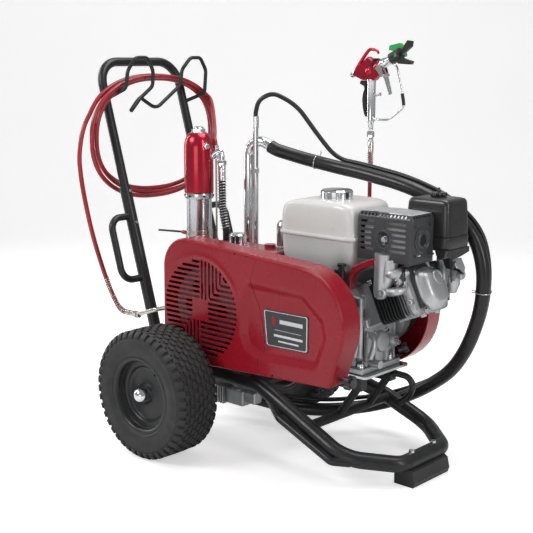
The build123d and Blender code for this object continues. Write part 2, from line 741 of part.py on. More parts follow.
def coil_point(angle):
    x = COIL_FIRST_X + COIL_PITCH * (angle - COIL_START) / 360
    y = COIL_CENTRE[0] + COIL_HALF_WIDTH * rounded(sin(radians(angle)))
    z = COIL_CENTRE[1] + COIL_HALF_HEIGHT * rounded(cos(radians(angle)))
    return (x, y, z)


COIL_START = -64.0
COIL_END = 360.0 * 2 + 52.0
COIL_STEPS = 50


def coil_path():
    step = (COIL_END - COIL_START) / COIL_STEPS
    return soft_line([coil_point(COIL_START + i * step) for i in range(COIL_STEPS + 1)])


def paint_hose_coil():
    return swept(coil_path(), PAINT_HOSE_RADIUS)


TAIL_END = (-256, -121, 302)


def paint_hose_tail():
    path = coil_path()
    start = path @ 0
    heading = (path % 0) * -1
    points = [start, start + heading * 25, (-371, -190, 790), (-369, -197, 720), (-362, -182, 610),
              (-352, -160, 500), (-338, -138, 392), (-318, -124, 330), (-288, -121, 303), TAIL_END]
    return hose(points, PAINT_HOSE_RADIUS)


LEAD_END = (-84, 44, 762)


def paint_hose_lead():
    path = coil_path()
    heading = path % 1
    x, y, z = LEAD_END
    points = [path @ 1, path @ 1 + heading * 14, (-332, 290, 842), (-292, 274, 804), (-260, 256, 794),
              (-205, 200, 806), (-150, 126, 818), (-94, 52, 792), (x, y, z + 14), LEAD_END]
    return hose(points, PAINT_HOSE_RADIUS)


def hose_fittings():
    """Outlet fitting with its elbow, and the steel transfer tube with its end fittings."""
    path = [(PUMP_X, PUMP_Y - 30.1, 336), (PUMP_X, -68, 336), (-166, -108, 324), (-220, -119, 306),
            (-238, -121, 302)]
    outlet = tube(path, 10, 6)
    outlet = outlet + hexagon((PUMP_X, PUMP_Y - 48, 336), (0, -1, 0), 19, 12)
    outlet = outlet + rod((-220, -121, 302), (-255.8, -121, 302), 7.5) + hexagon((-229, -121, 302),
                                                                                 (-1, 0, 0), 17, 12)
    x, y, z = LEAD_END
    transfer = rod((x, y, 296), (x, y, z - 12), 2.6)
    transfer = transfer + rod((x, y, z - 24), (x, y, z - 0.2), 6.4) + rod((x, y, 282), (x, y, 304), 6.4)
    return Compound([outlet, transfer])


def gun_whip_hose():
    x, y, z = LEAD_END
    bottom = [(x, y, 281.8), (x, y, 268), (x + 14, y + 22, 240), (-22, 122, 262), (66, 170, 334),
              (165, 234, 358),
              (232, 266, 412), (258, GUN_Y, 500), (GUN_X, GUN_Y, 540), (GUN_X, GUN_Y, 556)]
    body = hose(bottom, PAINT_HOSE_RADIUS)
    body = body + rod((GUN_X, GUN_Y, 550), (GUN_X, GUN_Y, 766), PAINT_HOSE_RADIUS)
    for i in range(12):
        body = body + placed(Torus(6.2, 1.0), (GUN_X, GUN_Y, 700 + 5 * i))
    return body


# ---------------------------------------------------------------- handle

def upper_handle():
    low = UPPER_TUBE_END
    points = [
        (leg_x(low), NEAR_LEG_Y, low), (leg_x(HANDLE_TOP), NEAR_LEG_Y, HANDLE_TOP),
        (leg_x(HANDLE_TOP), FAR_LEG_Y, HANDLE_TOP), (leg_x(low), FAR_LEG_Y, low),
    ]
    return tube(points, HANDLE_BEND, UPPER_TUBE_RADIUS, UPPER_TUBE_RADIUS - 1.6)


HOOK_X = -330.0
HOOK_RADIUS = 4.5


def hose_hook():
    near = [(leg_x(884) + 9, NEAR_LEG_Y + 3, 884), (HOOK_X, -57, 911), (HOOK_X, -50, 958),
            (HOOK_X, -20, 994),
            (HOOK_X, 22, 994), (HOOK_X, 43, 958), (HOOK_X, 40, 915), (HOOK_X, -5, 884), (HOOK_X, 40, 858)]
    far = [(HOOK_X, 60, 858), (HOOK_X, 147, 917), (HOOK_X, 153, 960), (HOOK_X, 188, 994),
           (HOOK_X, 227, 994),
           (HOOK_X, 249, 958), (HOOK_X, 243, 892), (leg_x(868) + 9, FAR_LEG_Y + 3, 868)]
    body = tube(near + far, 8, HOOK_RADIUS)
    peg_start = Vector(HOOK_X, -2, 886)
    peg_end = Vector(HOOK_X + 6, -40, 852)
    peg = rod(peg_start, peg_end, 6) + Pos(*peg_end) * Sphere(6)
    legs = [rod((leg_x(820), y, 820), (leg_x(940), y, 940), UPPER_TUBE_RADIUS) for y in (NEAR_LEG_Y,
                                                                                         FAR_LEG_Y)]
    return (body + peg) - legs[0] - legs[1]


# ---------------------------------------------------------------- engine

def along_cylinder(shape, distance, across=0.0):
    """Place a shape in the tilted cylinder's axes: local z along the bore, local x along the crank."""
    axis = Vector(cos(radians(CYLINDER_TILT)), 0, sin(radians(CYLINDER_TILT)))
    normal = Vector(-axis.Z, 0, axis.X)
    at = Vector(CRANK_X, ENGINE_Y, CRANK_Z) + axis * distance + normal * across
    return placed(shape, at, axis, (0, 1, 0))


def crankcase():
    body = block((296, 8, PLATE_TOP), (440, 150, 430), 8)
    body = body + block((286, 0, PLATE_TOP), (452, 158, PLATE_TOP + 16), 3)
    body = body + rod((CRANK_X, -22, CRANK_Z), (CRANK_X, 10, CRANK_Z), 60)
    body = body + rod((CRANK_X, 148, CRANK_Z), (CRANK_X, 174.9, CRANK_Z), 100)
    throat = along_cylinder(Box(112, 100, 74.9), 67.45)
    body = body + throat
    for i in range(8):
        angle = i * pi / 4 + 0.3
        x = CRANK_X + 52 * cos(angle)
        z = CRANK_Z + 52 * sin(angle)
        body = body + rod((x, -28, z), (x, -20, z), 5)
    for y in (30, 112):
        body = body + block((300, y, 420), (326, y + 26, 476.9))
    body = body - rod((CRANK_X, -40, CRANK_Z), (CRANK_X, 180, CRANK_Z), SHAFT_RADIUS + RUNNING_GAP)
    body = body - rod((CRANK_X, 48, CRANK_Z), (CRANK_X, 112, CRANK_Z), 36)
    for x, y in ENGINE_BOLTS:
        body = body - rod((x, y, PLATE_TOP - 5), (x, y, PLATE_TOP + 40), 4.5)
        body = body - rod((x, y, PLATE_TOP + 16), (x, y, PLATE_TOP + 40), 12)
    body = body + rod((448, 40, 262), (478, 40, 262), 10)
    return body


def cylinder_block():
    body = along_cylinder(Box(94, 84, 99.9), 155.05)
    body = body + along_cylinder(Box(112, 100, 31.9), 219)
    for i in range(10):
        fin = Box(126, 118, 2.6)
        fin = fillet(fin.edges().filter_by(Axis.Z), 14)
        body = body + along_cylinder(fin, 112 + i * 9.4)
    port = along_cylinder(Pos(54, 0, 0) * Box(18, 44, 26), 219, 6)
    return body + port


def valve_cover():
    shell = Box(108, 98, 26)
    shell = fillet(shell.edges().filter_by(Axis.Z), 22)
    shell = fillet(shell.faces().sort_by(Axis.Z)[-1].edges(), 9)
    body = along_cylinder(shell, 248)
    rim_plate = fillet(Box(116, 106, 5).edges().filter_by(Axis.Z), 24)
    body = body + along_cylinder(rim_plate, 237.6)
    boss = along_cylinder(Cylinder(22, 8), 264, 4) - along_cylinder(Cylinder(12, 10), 266, 4)
    return body + boss


def fan_shroud():
    """Red sheet-metal fan cover with the domed recoil starter and its rope guide."""
    profile = [(0, 60), (139, 60), (150, 50), (150, 0), (147.5, 0), (147.5, 49), (138, 57), (0, 57)]
    body = turned(profile, (CRANK_X, 175, CRANK_Z), (0, 1, 0))
    dome = [(0, 27), (84, 27), (95, 16), (95, 0), (92, 0), (92, 15), (83, 24), (0, 24)]
    body = body + turned(dome, (CRANK_X, 235, CRANK_Z), (0, 1, 0))
    for i in range(18):
        angle = i * pi / 9
        x = CRANK_X + 60 * cos(angle)
        z = CRANK_Z + 60 * sin(angle)
        body = body - rod((x, 250, z), (x, 270, z), 7)
    duct = along_cylinder(Box(26, 100, 60), 150) - along_cylinder(Pos(-2, 0, 0) * Box(26, 94, 62), 150)
    body = body + Pos(0, 85, 0) * duct
    guide = rod((440, 234, 452), (440, 252, 452), 9) - rod((440, 230, 452), (440, 256, 452), 3.1)
    return body + guide


def recoil_handle():
    stem = rod((440, 238, 452), (440, 268, 452), 3)
    grip = rod((412, 270, 452), (468, 270, 452), 7.5)
    return stem + grip


TANK_BOX = ((193, -15, 477), (426, 160, 650))
FUEL_CAP_AT = (320, 60, 652)


def fuel_tank():
    low, high = TANK_BOX
    body = fillet(block(low, high).edges().filter_by(Axis.Z), 26)
    body = fillet(body.faces().sort_by(Axis.Z)[-1].edges(), 20)
    body = fillet(body.faces().sort_by(Axis.Z)[0].edges(), 10)
    seam = block((low[0] - 3, low[1] - 3, 563), (high[0] + 3, high[1] + 3, 567))
    seam = fillet(seam.edges().filter_by(Axis.Z), 28)
    body = body + seam
    x, y, z = FUEL_CAP_AT
    body = body + rod((x, y, 640), (x, y, z + 8), 30)
    cavity = block((low[0] + 4, low[1] + 4, low[2] + 4), (high[0] - 4, high[1] - 4, high[2] - 4), 18)
    return body - cavity - rod((x, y, 600), (x, y, z + 20), 26)


def fuel_cap():
    x, y, z = FUEL_CAP_AT
    inner = 30 + RUNNING_GAP
    profile = [(0, 23), (36, 23), (40, 19), (40, 1), (inner, 1), (inner, 10), (0, 10)]
    body = turned(profile, (x, y, z))
    for i in range(8):
        angle = i * pi / 4
        body = body - rod((x + 44 * cos(angle), y + 44 * sin(angle), z),
                          (x + 44 * cos(angle), y + 44 * sin(angle), z + 18), 7)
    return body


MUFFLER_BOX = ((431, 0, 526), (588, 86, 636))


def muffler():
    body = block((440, 8, 534), (572, 70, 620), 16)
    outlet = rod((568, 42, 580), (586, 42, 580), 17, 14)
    pipe = tube([(556, 23.9, 474), (556, 6, 474), (540, 16, 540)], 8, 10)
    pipe = pipe - block((500, 23.95, 400), (600, 80, 520))
    return body + outlet + pipe


def muffler_shield():
    low, high = MUFFLER_BOX
    body = fillet(block(low, high).edges().filter_by(Axis.Z), 8)
    body = chamfer(body.faces().sort_by(Axis.Z)[-1].edges(), 7)
    inside = block((low[0] + 1.5, low[1] + 1.5, low[2] - 1), (high[0] - 1.5, high[1] + 1, high[2] - 1.5))
    inside = fillet(inside.edges().filter_by(Axis.Z), 6.5)
    inside = chamfer(inside.faces().sort_by(Axis.Z)[-1].edges(), 6)
    body = body - inside
    middle = (low[0] + high[0]) / 2
    for row in range(6):
        z = 548 + row * 10.5
        for start in (low[0] + 10, middle + 22):
            slot = block((start, low[1] - 1, z), (start + 42, low[1] + 3, z + 5))
            body = body - slot
    for row in range(9):
        x = low[0] + 14 + row * 14.5
        body = body - block((x, low[1] - 1, high[2] - 8), (x + 8, low[1] + 8, high[2] - 3))
    body = body - rod((high[0] - 4, 42, 580), (high[0] + 4, 42, 580), 19)
    return body


AIR_BOX = ((500, 92, 548), (623, 190, 668))
AIR_STUD_AT = (562, 141)


def air_cleaner_base():
    low, high = AIR_BOX
    body = block((low[0] + 4, low[1] + 4, low[2]), (high[0] - 4, high[1] - 4, low[2] + 34), 6)
    body = body + rod((*AIR_STUD_AT, low[2] + 30), (*AIR_STUD_AT, high[2] + 16), 3)
    return body


def air_cleaner_cover():
    low, high = AIR_BOX
    body = fillet(block((low[0], low[1], low[2] + 34.1), high).edges().filter_by(Axis.Z), 18)
    body = fillet(body.faces().sort_by(Axis.Z)[-1].edges(), 14)
    body = body - block((low[0] + 3, low[1] + 3, low[2] + 30), (high[0] - 3, high[1] - 3, high[2] - 3), 10)
    return body - rod((*AIR_STUD_AT, 600), (*AIR_STUD_AT, 700), 3.4)


def air_cleaner_knob():
    x, y = AIR_STUD_AT
    body = rod((x, y, 668.1), (x, y, 680), 12)
    for i in range(5):
        angle = i * 2 * pi / 5
        centre = (x + 14 * cos(angle), y + 14 * sin(angle))
        body = body + rod((centre[0], centre[1], 670), (centre[0], centre[1], 679), 7)
    return body - rod((x, y, 660), (x, y, 690), 3 + RUNNING_GAP)


def carburettor():
    body = block((548, 144.2, 446), (590, 182, 496), 5)
    body = body + rod((569, 163, 418), (569, 163, 450), 17)
    body = body + tube([(569, 163, 490), (572, 163, 508), (588, 150, 528), (588, 150, 547.9)], 14, 13)
    return body


def drain_hose():
    points = [(460, 132, 217), (492, 140, 213), (506, 142, 190), (492, 140, 160), (470, 132, 142)]
    return hose(points, 8) + hexagon((452, 129, 217), (1, 0.15, 0), 16, 9)


# ---------------------------------------------------------------- spray gun

def flat_piece(points, half_width, bend=2.0):
    """Plate cut to an outline given from the gun's axis, centred on its middle plane."""
    path = FilletPolyline(*[(GUN_X + x, 0, z) for x, z in points], radius=bend, close=True)
    body = extrude(make_face(path), amount=half_width, dir=(0, 1, 0), both=True)
    return Pos(0, GUN_Y, 0) * body


def gun_point(x, z, y=0.0):
    return (GUN_X + x, GUN_Y + y, z)


TRIGGER_PIVOT = (28, 972)


def gun_body():
    bottom = GUN_HANDLE_BOTTOM
    body = rod(gun_point(0, 766.2), gun_point(0, 794), 7)
    body = body + hexagon(gun_point(0, 797), (0, 0, 1), 17, 16) + rod(gun_point(0, 790),
                                                                      gun_point(0, bottom), 6)
    body = body + rod(gun_point(0, bottom), gun_point(0, 936), 11)
    head = [(-24, 936), (14, 936), (34, 956), (30, 990), (12, 990), (-6, 1010), (10, 1010), (12, 1003),
            (22, 1001),
            (18, 1014), (-10, 1016), (-58, 962), (-52, 950)]
    body = body + flat_piece(head, 11)
    body = body + rod(gun_point(10, 964), gun_point(62, 990), 11.4)
    pad = [(-30, 934), (-10, 934), (-10, 846), (-14, 846), (-24, 890), (-16, 920), (-34, 926)]
    body = body + flat_piece(pad, 9)
    guard_rail = [gun_point(6, 836), gun_point(58, 834), gun_point(104, 870), gun_point(72, 974),
                  gun_point(40, 976)]
    body = body + tube(guard_rail, 8, 2.6)
    return body - rod(gun_point(TRIGGER_PIVOT[0], TRIGGER_PIVOT[1], -30), gun_point(*TRIGGER_PIVOT, 30), 3)


def gun_trigger():
    x, z = TRIGGER_PIVOT
    lever = [(x - 6, z - 4), (x + 6, z + 4), (54, 960), (78, 890), (84, 872), (76, 868), (48, 944),
             (24, 960)]
    left = Pos(0, 13.4, 0) * flat_piece(lever, 1.4, 1.0)
    right = Pos(0, -13.4, 0) * flat_piece(lever, 1.4, 1.0)
    bar = [(70, 906), (78, 908), (86, 872), (78, 868)]
    body = left + right + flat_piece(bar, 14)
    return body + rod(gun_point(x, z, -14.4), gun_point(x, z, 14.4), 3 - RUNNING_GAP)


TIP_AT = (82, 1000)


def gun_tip_guard():
    base = Vector(*gun_point(62, 990))
    axis = Vector(1, 0, 0.5).normalized()
    body = placed(Cylinder(15, 32), base + axis * 16.2, axis)
    wing = [(86, 1000), (92, 996), (124, 1020), (126, 1034), (112, 1036)]
    low = [(80, 984), (88, 978), (124, 976), (128, 984), (92, 994)]
    body = body + flat_piece(wing, 5, 1.5) + flat_piece(low, 7, 1.5)
    return body - rod(gun_point(*TIP_AT, -30), gun_point(*TIP_AT, 30), 5 + RUNNING_GAP)


def gun_tip():
    x, z = TIP_AT
    barrel = rod(gun_point(x, z, -13), gun_point(x, z, 34), 5)
    flag = [(x - 4, z - 5), (x + 6, z - 5), (x + 8, z + 14), (x - 8, z + 30), (x - 40, z + 24),
            (x - 42, z + 12), (x - 14, z + 8)]
    return barrel + Pos(0, 23, 0) * flat_piece(flag, 6, 2.0)


# ---------------------------------------------------------------- export

ORIGIN = (FOOT_X - 1, CENTRE_Y, 0)


def parts():
    guard_rear, guard_front = guard_pieces()
    pieces = {
        "cart_frame": cart_frame(), "foot_pad": foot_pad(), "frame_bolts": frame_bolts(), "axle": axle(),
        "engine_plate": engine_plate(), "guard_rear": guard_rear, "guard_front": guard_front,
        "guard_badge": guard_badge(), "guard_back_plate": guard_back_plate(), "guard_knob": guard_knob(),
        "engine_pulley": engine_pulley(), "pump_pulley": pump_pulley(), "drive_belt": drive_belt(),
        "hydraulic_tank": hydraulic_tank(), "hydraulic_cap": hydraulic_cap(),
        "filter_canister": filter_canister(), "hydraulic_housing": hydraulic_housing(),
        "hydraulic_hose": hydraulic_hose(), "pump_cap": pump_cap(), "pump_cylinder": pump_cylinder(),
        "fluid_section": fluid_section(), "piston_rod": piston_rod(), "valve_lever": valve_lever(),
        "siphon_tube": siphon_tube(), "return_tube": return_tube(), "suction_hose": suction_hose(),
        "bleed_hose": bleed_hose(), "hose_ties": hose_ties(), "hose_fittings": hose_fittings(),
        "paint_hose_coil": paint_hose_coil(), "paint_hose_tail": paint_hose_tail(),
        "paint_hose_lead": paint_hose_lead(), "gun_whip_hose": gun_whip_hose(),
        "upper_handle": upper_handle(), "hose_hook": hose_hook(),
        "lock_buttons": lock_buttons(),
        "crankcase": crankcase(), "cylinder_block": cylinder_block(), "valve_cover": valve_cover(),
        "fan_shroud": fan_shroud(), "recoil_handle": recoil_handle(), "fuel_tank": fuel_tank(),
        "fuel_cap": fuel_cap(), "muffler": muffler(), "muffler_shield": muffler_shield(),
        "air_cleaner_base": air_cleaner_base(), "air_cleaner_cover": air_cleaner_cover(),
        "air_cleaner_knob": air_cleaner_knob(), "carburettor": carburettor(), "drain_hose": drain_hose(),
        "gun_body": gun_body(), "gun_trigger": gun_trigger(), "gun_tip_guard": gun_tip_guard(),
        "gun_tip": gun_tip(),
    }
    for name, side in (("near", -1), ("far", 1)):
        pieces[name + "_tyre"] = tyre(side)
        pieces[name + "_rim"] = rim(side)
        pieces[name + "_hub_cap"] = hub_cap(side)
    return pieces


def export_all():
    os.makedirs("parts", exist_ok=True)
    move = Location((-ORIGIN[0], -ORIGIN[1], 0))
    for name, shape in parts().items():
        export_step(move * shape, "parts/" + name + ".step")


export_all()
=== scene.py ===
import json
import math

import bmesh
import bpy
from mathutils import Matrix, Vector
from mathutils.geometry import delaunay_2d_cdt


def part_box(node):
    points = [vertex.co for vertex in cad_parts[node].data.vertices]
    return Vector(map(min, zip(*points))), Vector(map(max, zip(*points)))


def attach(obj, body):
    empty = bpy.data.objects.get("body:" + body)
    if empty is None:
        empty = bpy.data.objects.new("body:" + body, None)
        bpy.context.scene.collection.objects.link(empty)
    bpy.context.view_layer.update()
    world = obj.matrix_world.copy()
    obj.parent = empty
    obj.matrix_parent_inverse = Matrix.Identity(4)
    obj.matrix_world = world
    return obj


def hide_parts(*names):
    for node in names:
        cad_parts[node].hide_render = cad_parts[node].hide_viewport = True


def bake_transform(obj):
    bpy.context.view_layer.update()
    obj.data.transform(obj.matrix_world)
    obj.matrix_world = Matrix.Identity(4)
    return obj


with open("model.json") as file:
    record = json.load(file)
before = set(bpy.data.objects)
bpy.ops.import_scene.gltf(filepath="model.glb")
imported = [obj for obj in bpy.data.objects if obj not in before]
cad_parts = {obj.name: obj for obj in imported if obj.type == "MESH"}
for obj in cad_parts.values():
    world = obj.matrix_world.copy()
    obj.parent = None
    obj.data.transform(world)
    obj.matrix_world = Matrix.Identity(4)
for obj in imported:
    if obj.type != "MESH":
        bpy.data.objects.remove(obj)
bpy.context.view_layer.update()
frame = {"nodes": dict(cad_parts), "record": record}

# Airless paint sprayer. Lengths below are millimetres from the ground under the middle of the axle,
# +X towards the front foot, +Y away from the belt guard; at() turns them into the frame's metres.
AXLE_LOW, AXLE_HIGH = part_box("axle")
AXLE_X = (AXLE_LOW.x + AXLE_HIGH.x) / 2
AXLE_Y = (AXLE_LOW.y + AXLE_HIGH.y) / 2
MM = 0.001
UP, FORWARD, FAR, NEAR = (0, 0, 1), (1, 0, 0), (0, 1, 0), (0, -1, 0)


def at(x, y, z):
    return Vector((AXLE_X + x * MM, AXLE_Y + y * MM, z * MM))


# ---------------------------------------------------------------- materials

class Nodes:
    """Builds one node tree. A value is a number, an RGB colour or another node's output."""

    def __init__(self, name):
        self.material = bpy.data.materials.new(name)
        self.material.use_nodes = True
        self.tree = self.material.node_tree
        self.tree.nodes.clear()
        self.shader = self.new("BsdfPrincipled")
        self.new("OutputMaterial", {0: self.shader.outputs[0]})
        self.where = self.new("TexCoord").outputs["Object"]

    def fill(self, slot, value):
        if isinstance(value, bpy.types.NodeSocket):
            self.tree.links.new(value, slot)
        else:
            slot.default_value = (*value, 1.0) if slot.type == "RGBA" else value

    def new(self, kind, inputs=None, **settings):
        node = self.tree.nodes.new("ShaderNode" + kind)
        for key, value in settings.items():
            setattr(node, key, value)
        for key, value in (inputs or {}).items():
            self.fill(node.inputs[key], value)
        return node

    def noise(self, scale, detail=3.0, roughness=0.55, stretch=None, distortion=0.0):
        where = self.where
        if stretch:
            where = self.new("Mapping", {"Vector": where, "Scale": stretch}).outputs[0]
        return self.new("TexNoise", {"Vector": where, "Scale": scale, "Detail": detail, "Roughness": roughness,
                                     "Distortion": distortion}).outputs["Fac"]

    def cells(self, scale):
        return self.new("TexVoronoi", {"Vector": self.where, "Scale": scale}).outputs["Distance"]

    def ramp(self, value, low, high, out_low=0.0, out_high=1.0):
        return self.new("MapRange", {"Value": value, "From Min": low, "From Max": high, "To Min": out_low,
                                     "To Max": out_high}).outputs[0]

    def math(self, operation, a, b):
        return self.new("Math", {0: a, 1: b}, operation=operation).outputs[0]

    def mix(self, factor, a, b):
        node = self.new("Mix", data_type="RGBA")
        for slot, value in zip([s for s in node.inputs if s.enabled], (factor, a, b)):
            self.fill(slot, value)
        return [s for s in node.outputs if s.enabled][0]

    def facing(self):
        return self.new("NewGeometry").outputs["Normal"]

    def edges(self, radius):
        """1 on convex edges rounder than radius, 0 on flat faces; and the rounded normal."""
        rounded = self.new("Bevel", {"Radius": radius}, samples=4).outputs[0]
        dot = self.new("VectorMath", {0: rounded, 1: self.facing()}, operation="DOT_PRODUCT")
        return self.ramp(dot.outputs["Value"], 0.985, 0.86), rounded

    def bump(self, height, distance, strength, normal):
        return self.new("Bump", {"Height": height, "Distance": distance, "Strength": strength,
                                 "Normal": normal}).outputs[0]


DUST = (0.55, 0.53, 0.50)


def surface(name, colour, rough, metal=0.0, coat=0.0, specular=0.5, vary=0.12, mottle=14.0, grain=(900, 2e-5),
            wear=(0.35, None), edge=0.0007, dust=0.12, brushed=None, dimples=0.0):
    """A finish with broad and fine colour variation, grain, worn edges, light dust and smudged gloss.

    grain is a scale and a depth in metres; wear is an amount and the colour that shows on worn edges.
    """
    wear_amount, wear_colour = wear
    n = Nodes(name)
    dark = tuple(c * (1 - vary) for c in colour)
    light = tuple(min(1.0, c * (1 + vary) + 0.004) for c in colour)
    base = n.mix(n.ramp(n.noise(mottle, 4.0), 0.3, 0.7), dark, light)
    speck = n.ramp(n.noise(mottle * 22, 2.0), 0.62, 0.8, 0.0, 0.35)
    base = n.mix(speck, base, tuple(c * 0.6 for c in colour))
    edge_mask, normal = n.edges(edge)
    broken = n.ramp(n.noise(170, 5.0, 0.7), 0.42, 0.62)
    worn = n.math("MULTIPLY", n.math("MULTIPLY", edge_mask, broken), wear_amount)
    base = n.mix(worn, base, wear_colour or tuple(min(1.0, c * 1.8 + 0.05) for c in colour))
    upward = n.new("SeparateXYZ", {0: n.facing()}).outputs["Z"]
    patches = n.ramp(n.noise(38, 5.0, 0.7), 0.35, 0.75, 0.0, dust)
    base = n.mix(n.math("MULTIPLY", n.ramp(upward, 0.35, 1.0), patches), base, DUST)
    gloss = n.ramp(n.noise(mottle * 2.5, 5.0, 0.65, distortion=0.6), 0.25, 0.75, rough * 0.78, min(1.0, rough * 1.25))
    height = n.noise(grain[0], 3.0, 0.6)
    if brushed:
        gloss = n.math("ADD", gloss, n.ramp(n.noise(60, 2.0, 0.5, brushed), 0.3, 0.7, -0.06, 0.08))
        height = n.noise(120, 2.0, 0.5, brushed)
    normal = n.bump(height, grain[1], 1.0, normal)
    if dimples:
        normal = n.bump(n.cells(grain[0] * 0.35), dimples, 0.8, normal)
    for key, value in {"Base Color": base, "Roughness": gloss, "Normal": normal, "Metallic": metal,
                       "Coat Weight": coat, "Coat Roughness": 0.07, "Specular IOR Level": specular}.items():
        n.fill(n.shader.inputs[key], value)
    return n.material


FINISHES = {
    "frame_black": surface("satin_black_powder", (0.010, 0.0105, 0.012), 0.36, coat=0.1, specular=0.4,
        grain=(1400, 3e-5), wear=(0.25, (0.16, 0.16, 0.17)), dust=0.05, dimples=2e-5),
    "guard_red": surface("gloss_crimson_plastic", (0.27, 0.004, 0.014), 0.28, coat=0.15, specular=0.3,
        vary=0.07, mottle=5, grain=(500, 1e-5), wear=(0.25, (0.62, 0.10, 0.12)), edge=0.0012, dust=0.03),
    "red_paint": surface("crimson_enamel", (0.32, 0.008, 0.02), 0.26, coat=0.7, vary=0.09, mottle=8,
        grain=(700, 2e-5), wear=(0.45, (0.45, 0.32, 0.30)), dust=0.05),
    "anodised_red": surface("red_anodised_aluminium", (0.45, 0.008, 0.03), 0.22, metal=0.7, coat=0.4,
        vary=0.06, grain=(300, 2e-6), wear=(0.3, (0.7, 0.4, 0.4)), edge=0.0004, dust=0.01),
    "rubber_black": surface("black_hose_rubber", (0.009, 0.009, 0.010), 0.34, coat=0.15, specular=0.4,
        vary=0.2, grain=(1500, 3e-5), wear=(0.3, (0.07, 0.07, 0.07)), dust=0.06),
    "tyre_black": surface("tyre_rubber", (0.017, 0.017, 0.018), 0.62, vary=0.22, grain=(1100, 8e-5),
        wear=(0.5, (0.06, 0.06, 0.058)), dust=0.10, dimples=3e-5),
    "zinc": surface("bright_zinc_plate", (0.58, 0.59, 0.61), 0.20, metal=0.95, vary=0.12, grain=(300, 3e-6),
        wear=(0.35, (0.85, 0.85, 0.85)), edge=0.0004, dust=0.02),
    "chrome": surface("polished_chrome", (0.78, 0.79, 0.81), 0.10, metal=1.0, vary=0.05, grain=(400, 5e-6),
        wear=(0.2, (0.95, 0.95, 0.95)), dust=0.02),
    "cast_aluminium": surface("cast_aluminium", (0.50, 0.51, 0.52), 0.42, metal=0.85, vary=0.14, mottle=20,
        grain=(700, 1.2e-4), wear=(0.6, (0.80, 0.80, 0.80)), dust=0.05, dimples=7e-5),
    "dark_steel": surface("dark_grey_enamel", (0.045, 0.046, 0.05), 0.40, metal=0.2, coat=0.2,
        grain=(900, 5e-5), wear=(0.5, (0.28, 0.28, 0.29)), dust=0.05),
    "black_fins": surface("black_painted_casting", (0.028, 0.028, 0.03), 0.42, metal=0.1, grain=(600, 1e-4),
        wear=(0.5, (0.22, 0.22, 0.22)), dust=0.06),
    "tank_white": surface("off_white_enamel", (0.66, 0.655, 0.64), 0.34, coat=0.35, vary=0.03, mottle=6,
        grain=(900, 2e-5), wear=(0.3, (0.80, 0.79, 0.77)), dust=0.04),
    "plastic_black": surface("moulded_black_plastic", (0.014, 0.014, 0.015), 0.30, coat=0.2, vary=0.15,
        grain=(1300, 5e-5), wear=(0.3, (0.09, 0.09, 0.09)), dust=0.06, dimples=3e-5),
    "nickel": surface("satin_nickel", (0.60, 0.58, 0.54), 0.24, metal=0.95, vary=0.1, grain=(900, 3e-6),
        wear=(0.4, (0.86, 0.84, 0.80)), dust=0.03, brushed=(1, 1, 8)),
    "paint_hose_red": surface("red_hose_jacket", (0.30, 0.008, 0.018), 0.30, coat=0.35, vary=0.16,
        grain=(1300, 4e-5), wear=(0.2, (0.5, 0.1, 0.1)), dust=0.04),
    "badge": surface("black_anodised_plate", (0.02, 0.02, 0.024), 0.3, metal=0.3, coat=0.4,
        wear=(0.5, (0.5, 0.5, 0.5)), dust=0.03),
    "tip_green": surface("green_moulded_plastic", (0.03, 0.42, 0.10), 0.35, coat=0.2, grain=(900, 4e-5),
        wear=(0.3, (0.4, 0.7, 0.45)), dust=0.03),
    "worn_steel": surface("heat_worn_steel", (0.58, 0.58, 0.58), 0.34, metal=0.5, vary=0.15,
        grain=(500, 1e-5), wear=(0.5, (0.7, 0.7, 0.7)), dust=0.03),
    "bare_steel": surface("bare_muffler_steel", (0.85, 0.85, 0.85), 0.45, metal=0.1, vary=0.12, mottle=0.06,
        grain=(300, 1e-5), edge=0.0005, dust=0.03),
}
RECORD_SLOT = {"worn_steel": "dark_steel", "bare_steel": "dark_steel"}

record_slots = {part["node"]: part["material_slot"] for part in frame["record"]["subparts"]}
for name, node in frame["nodes"].items():
    node.data.materials.clear()
    node.data.materials.append(FINISHES[record_slots[name]])


# ---------------------------------------------------------------- mesh building

def frame_of(axis):
    """Two directions that make a right-handed set with axis."""
    axis = Vector(axis).normalized()
    side = Vector(UP) if abs(axis.z) < 0.9 else Vector(FORWARD)
    u = side.cross(axis).normalized()
    return u, axis.cross(u), axis


def clamped(value):
    return max(0.0, min(1.0, value))


def circle(centre, u, v, radius, steps):
    turns = [2 * math.pi * i / steps for i in range(steps)]
    return [centre + (u * math.cos(a) + v * math.sin(a)) * radius for a in turns]


def squared(angle, power):
    """Cosine and sine, pushed out towards the corners of a square as power rises above 2."""
    return [math.copysign(abs(k) ** (2 / power), k) for k in (math.cos(angle), math.sin(angle))]


def squared_ring(count, power, place):
    """Ring of points round a rounded rectangle; place(a, b) puts a point whose a and b run from -1 to 1."""
    return [place(*squared(2 * math.pi * (i + 0.5) / count, power)) for i in range(count)]


def shrunk(outline, chamfer):
    """The outline drawn in towards its middle, by chamfer at its farthest point."""
    middle = [sum(p[k] for p in outline) / len(outline) for k in (0, 1)]
    scale = 1 - chamfer / max(math.dist(p, middle) for p in outline)
    return [(middle[0] + (a - middle[0]) * scale, middle[1] + (b - middle[1]) * scale) for a, b in outline]


def signed_area(outline):
    return sum(a[0] * b[1] - b[0] * a[1] for a, b in zip(outline, outline[1:] + outline[:1])) / 2


def turned_frames(path, loop=False):
    """Each point of a path with two directions across it that never twist."""
    u = None
    for i, point in enumerate(path):
        before = path[i - 1] if i or loop else path[0]
        after = path[(i + 1) % len(path)] if i < len(path) - 1 or loop else path[-1]
        along = (after - before).normalized()
        u = frame_of(along)[0] if u is None else u
        u = (u - along * u.dot(along)).normalized()
        yield point, u, along.cross(u)


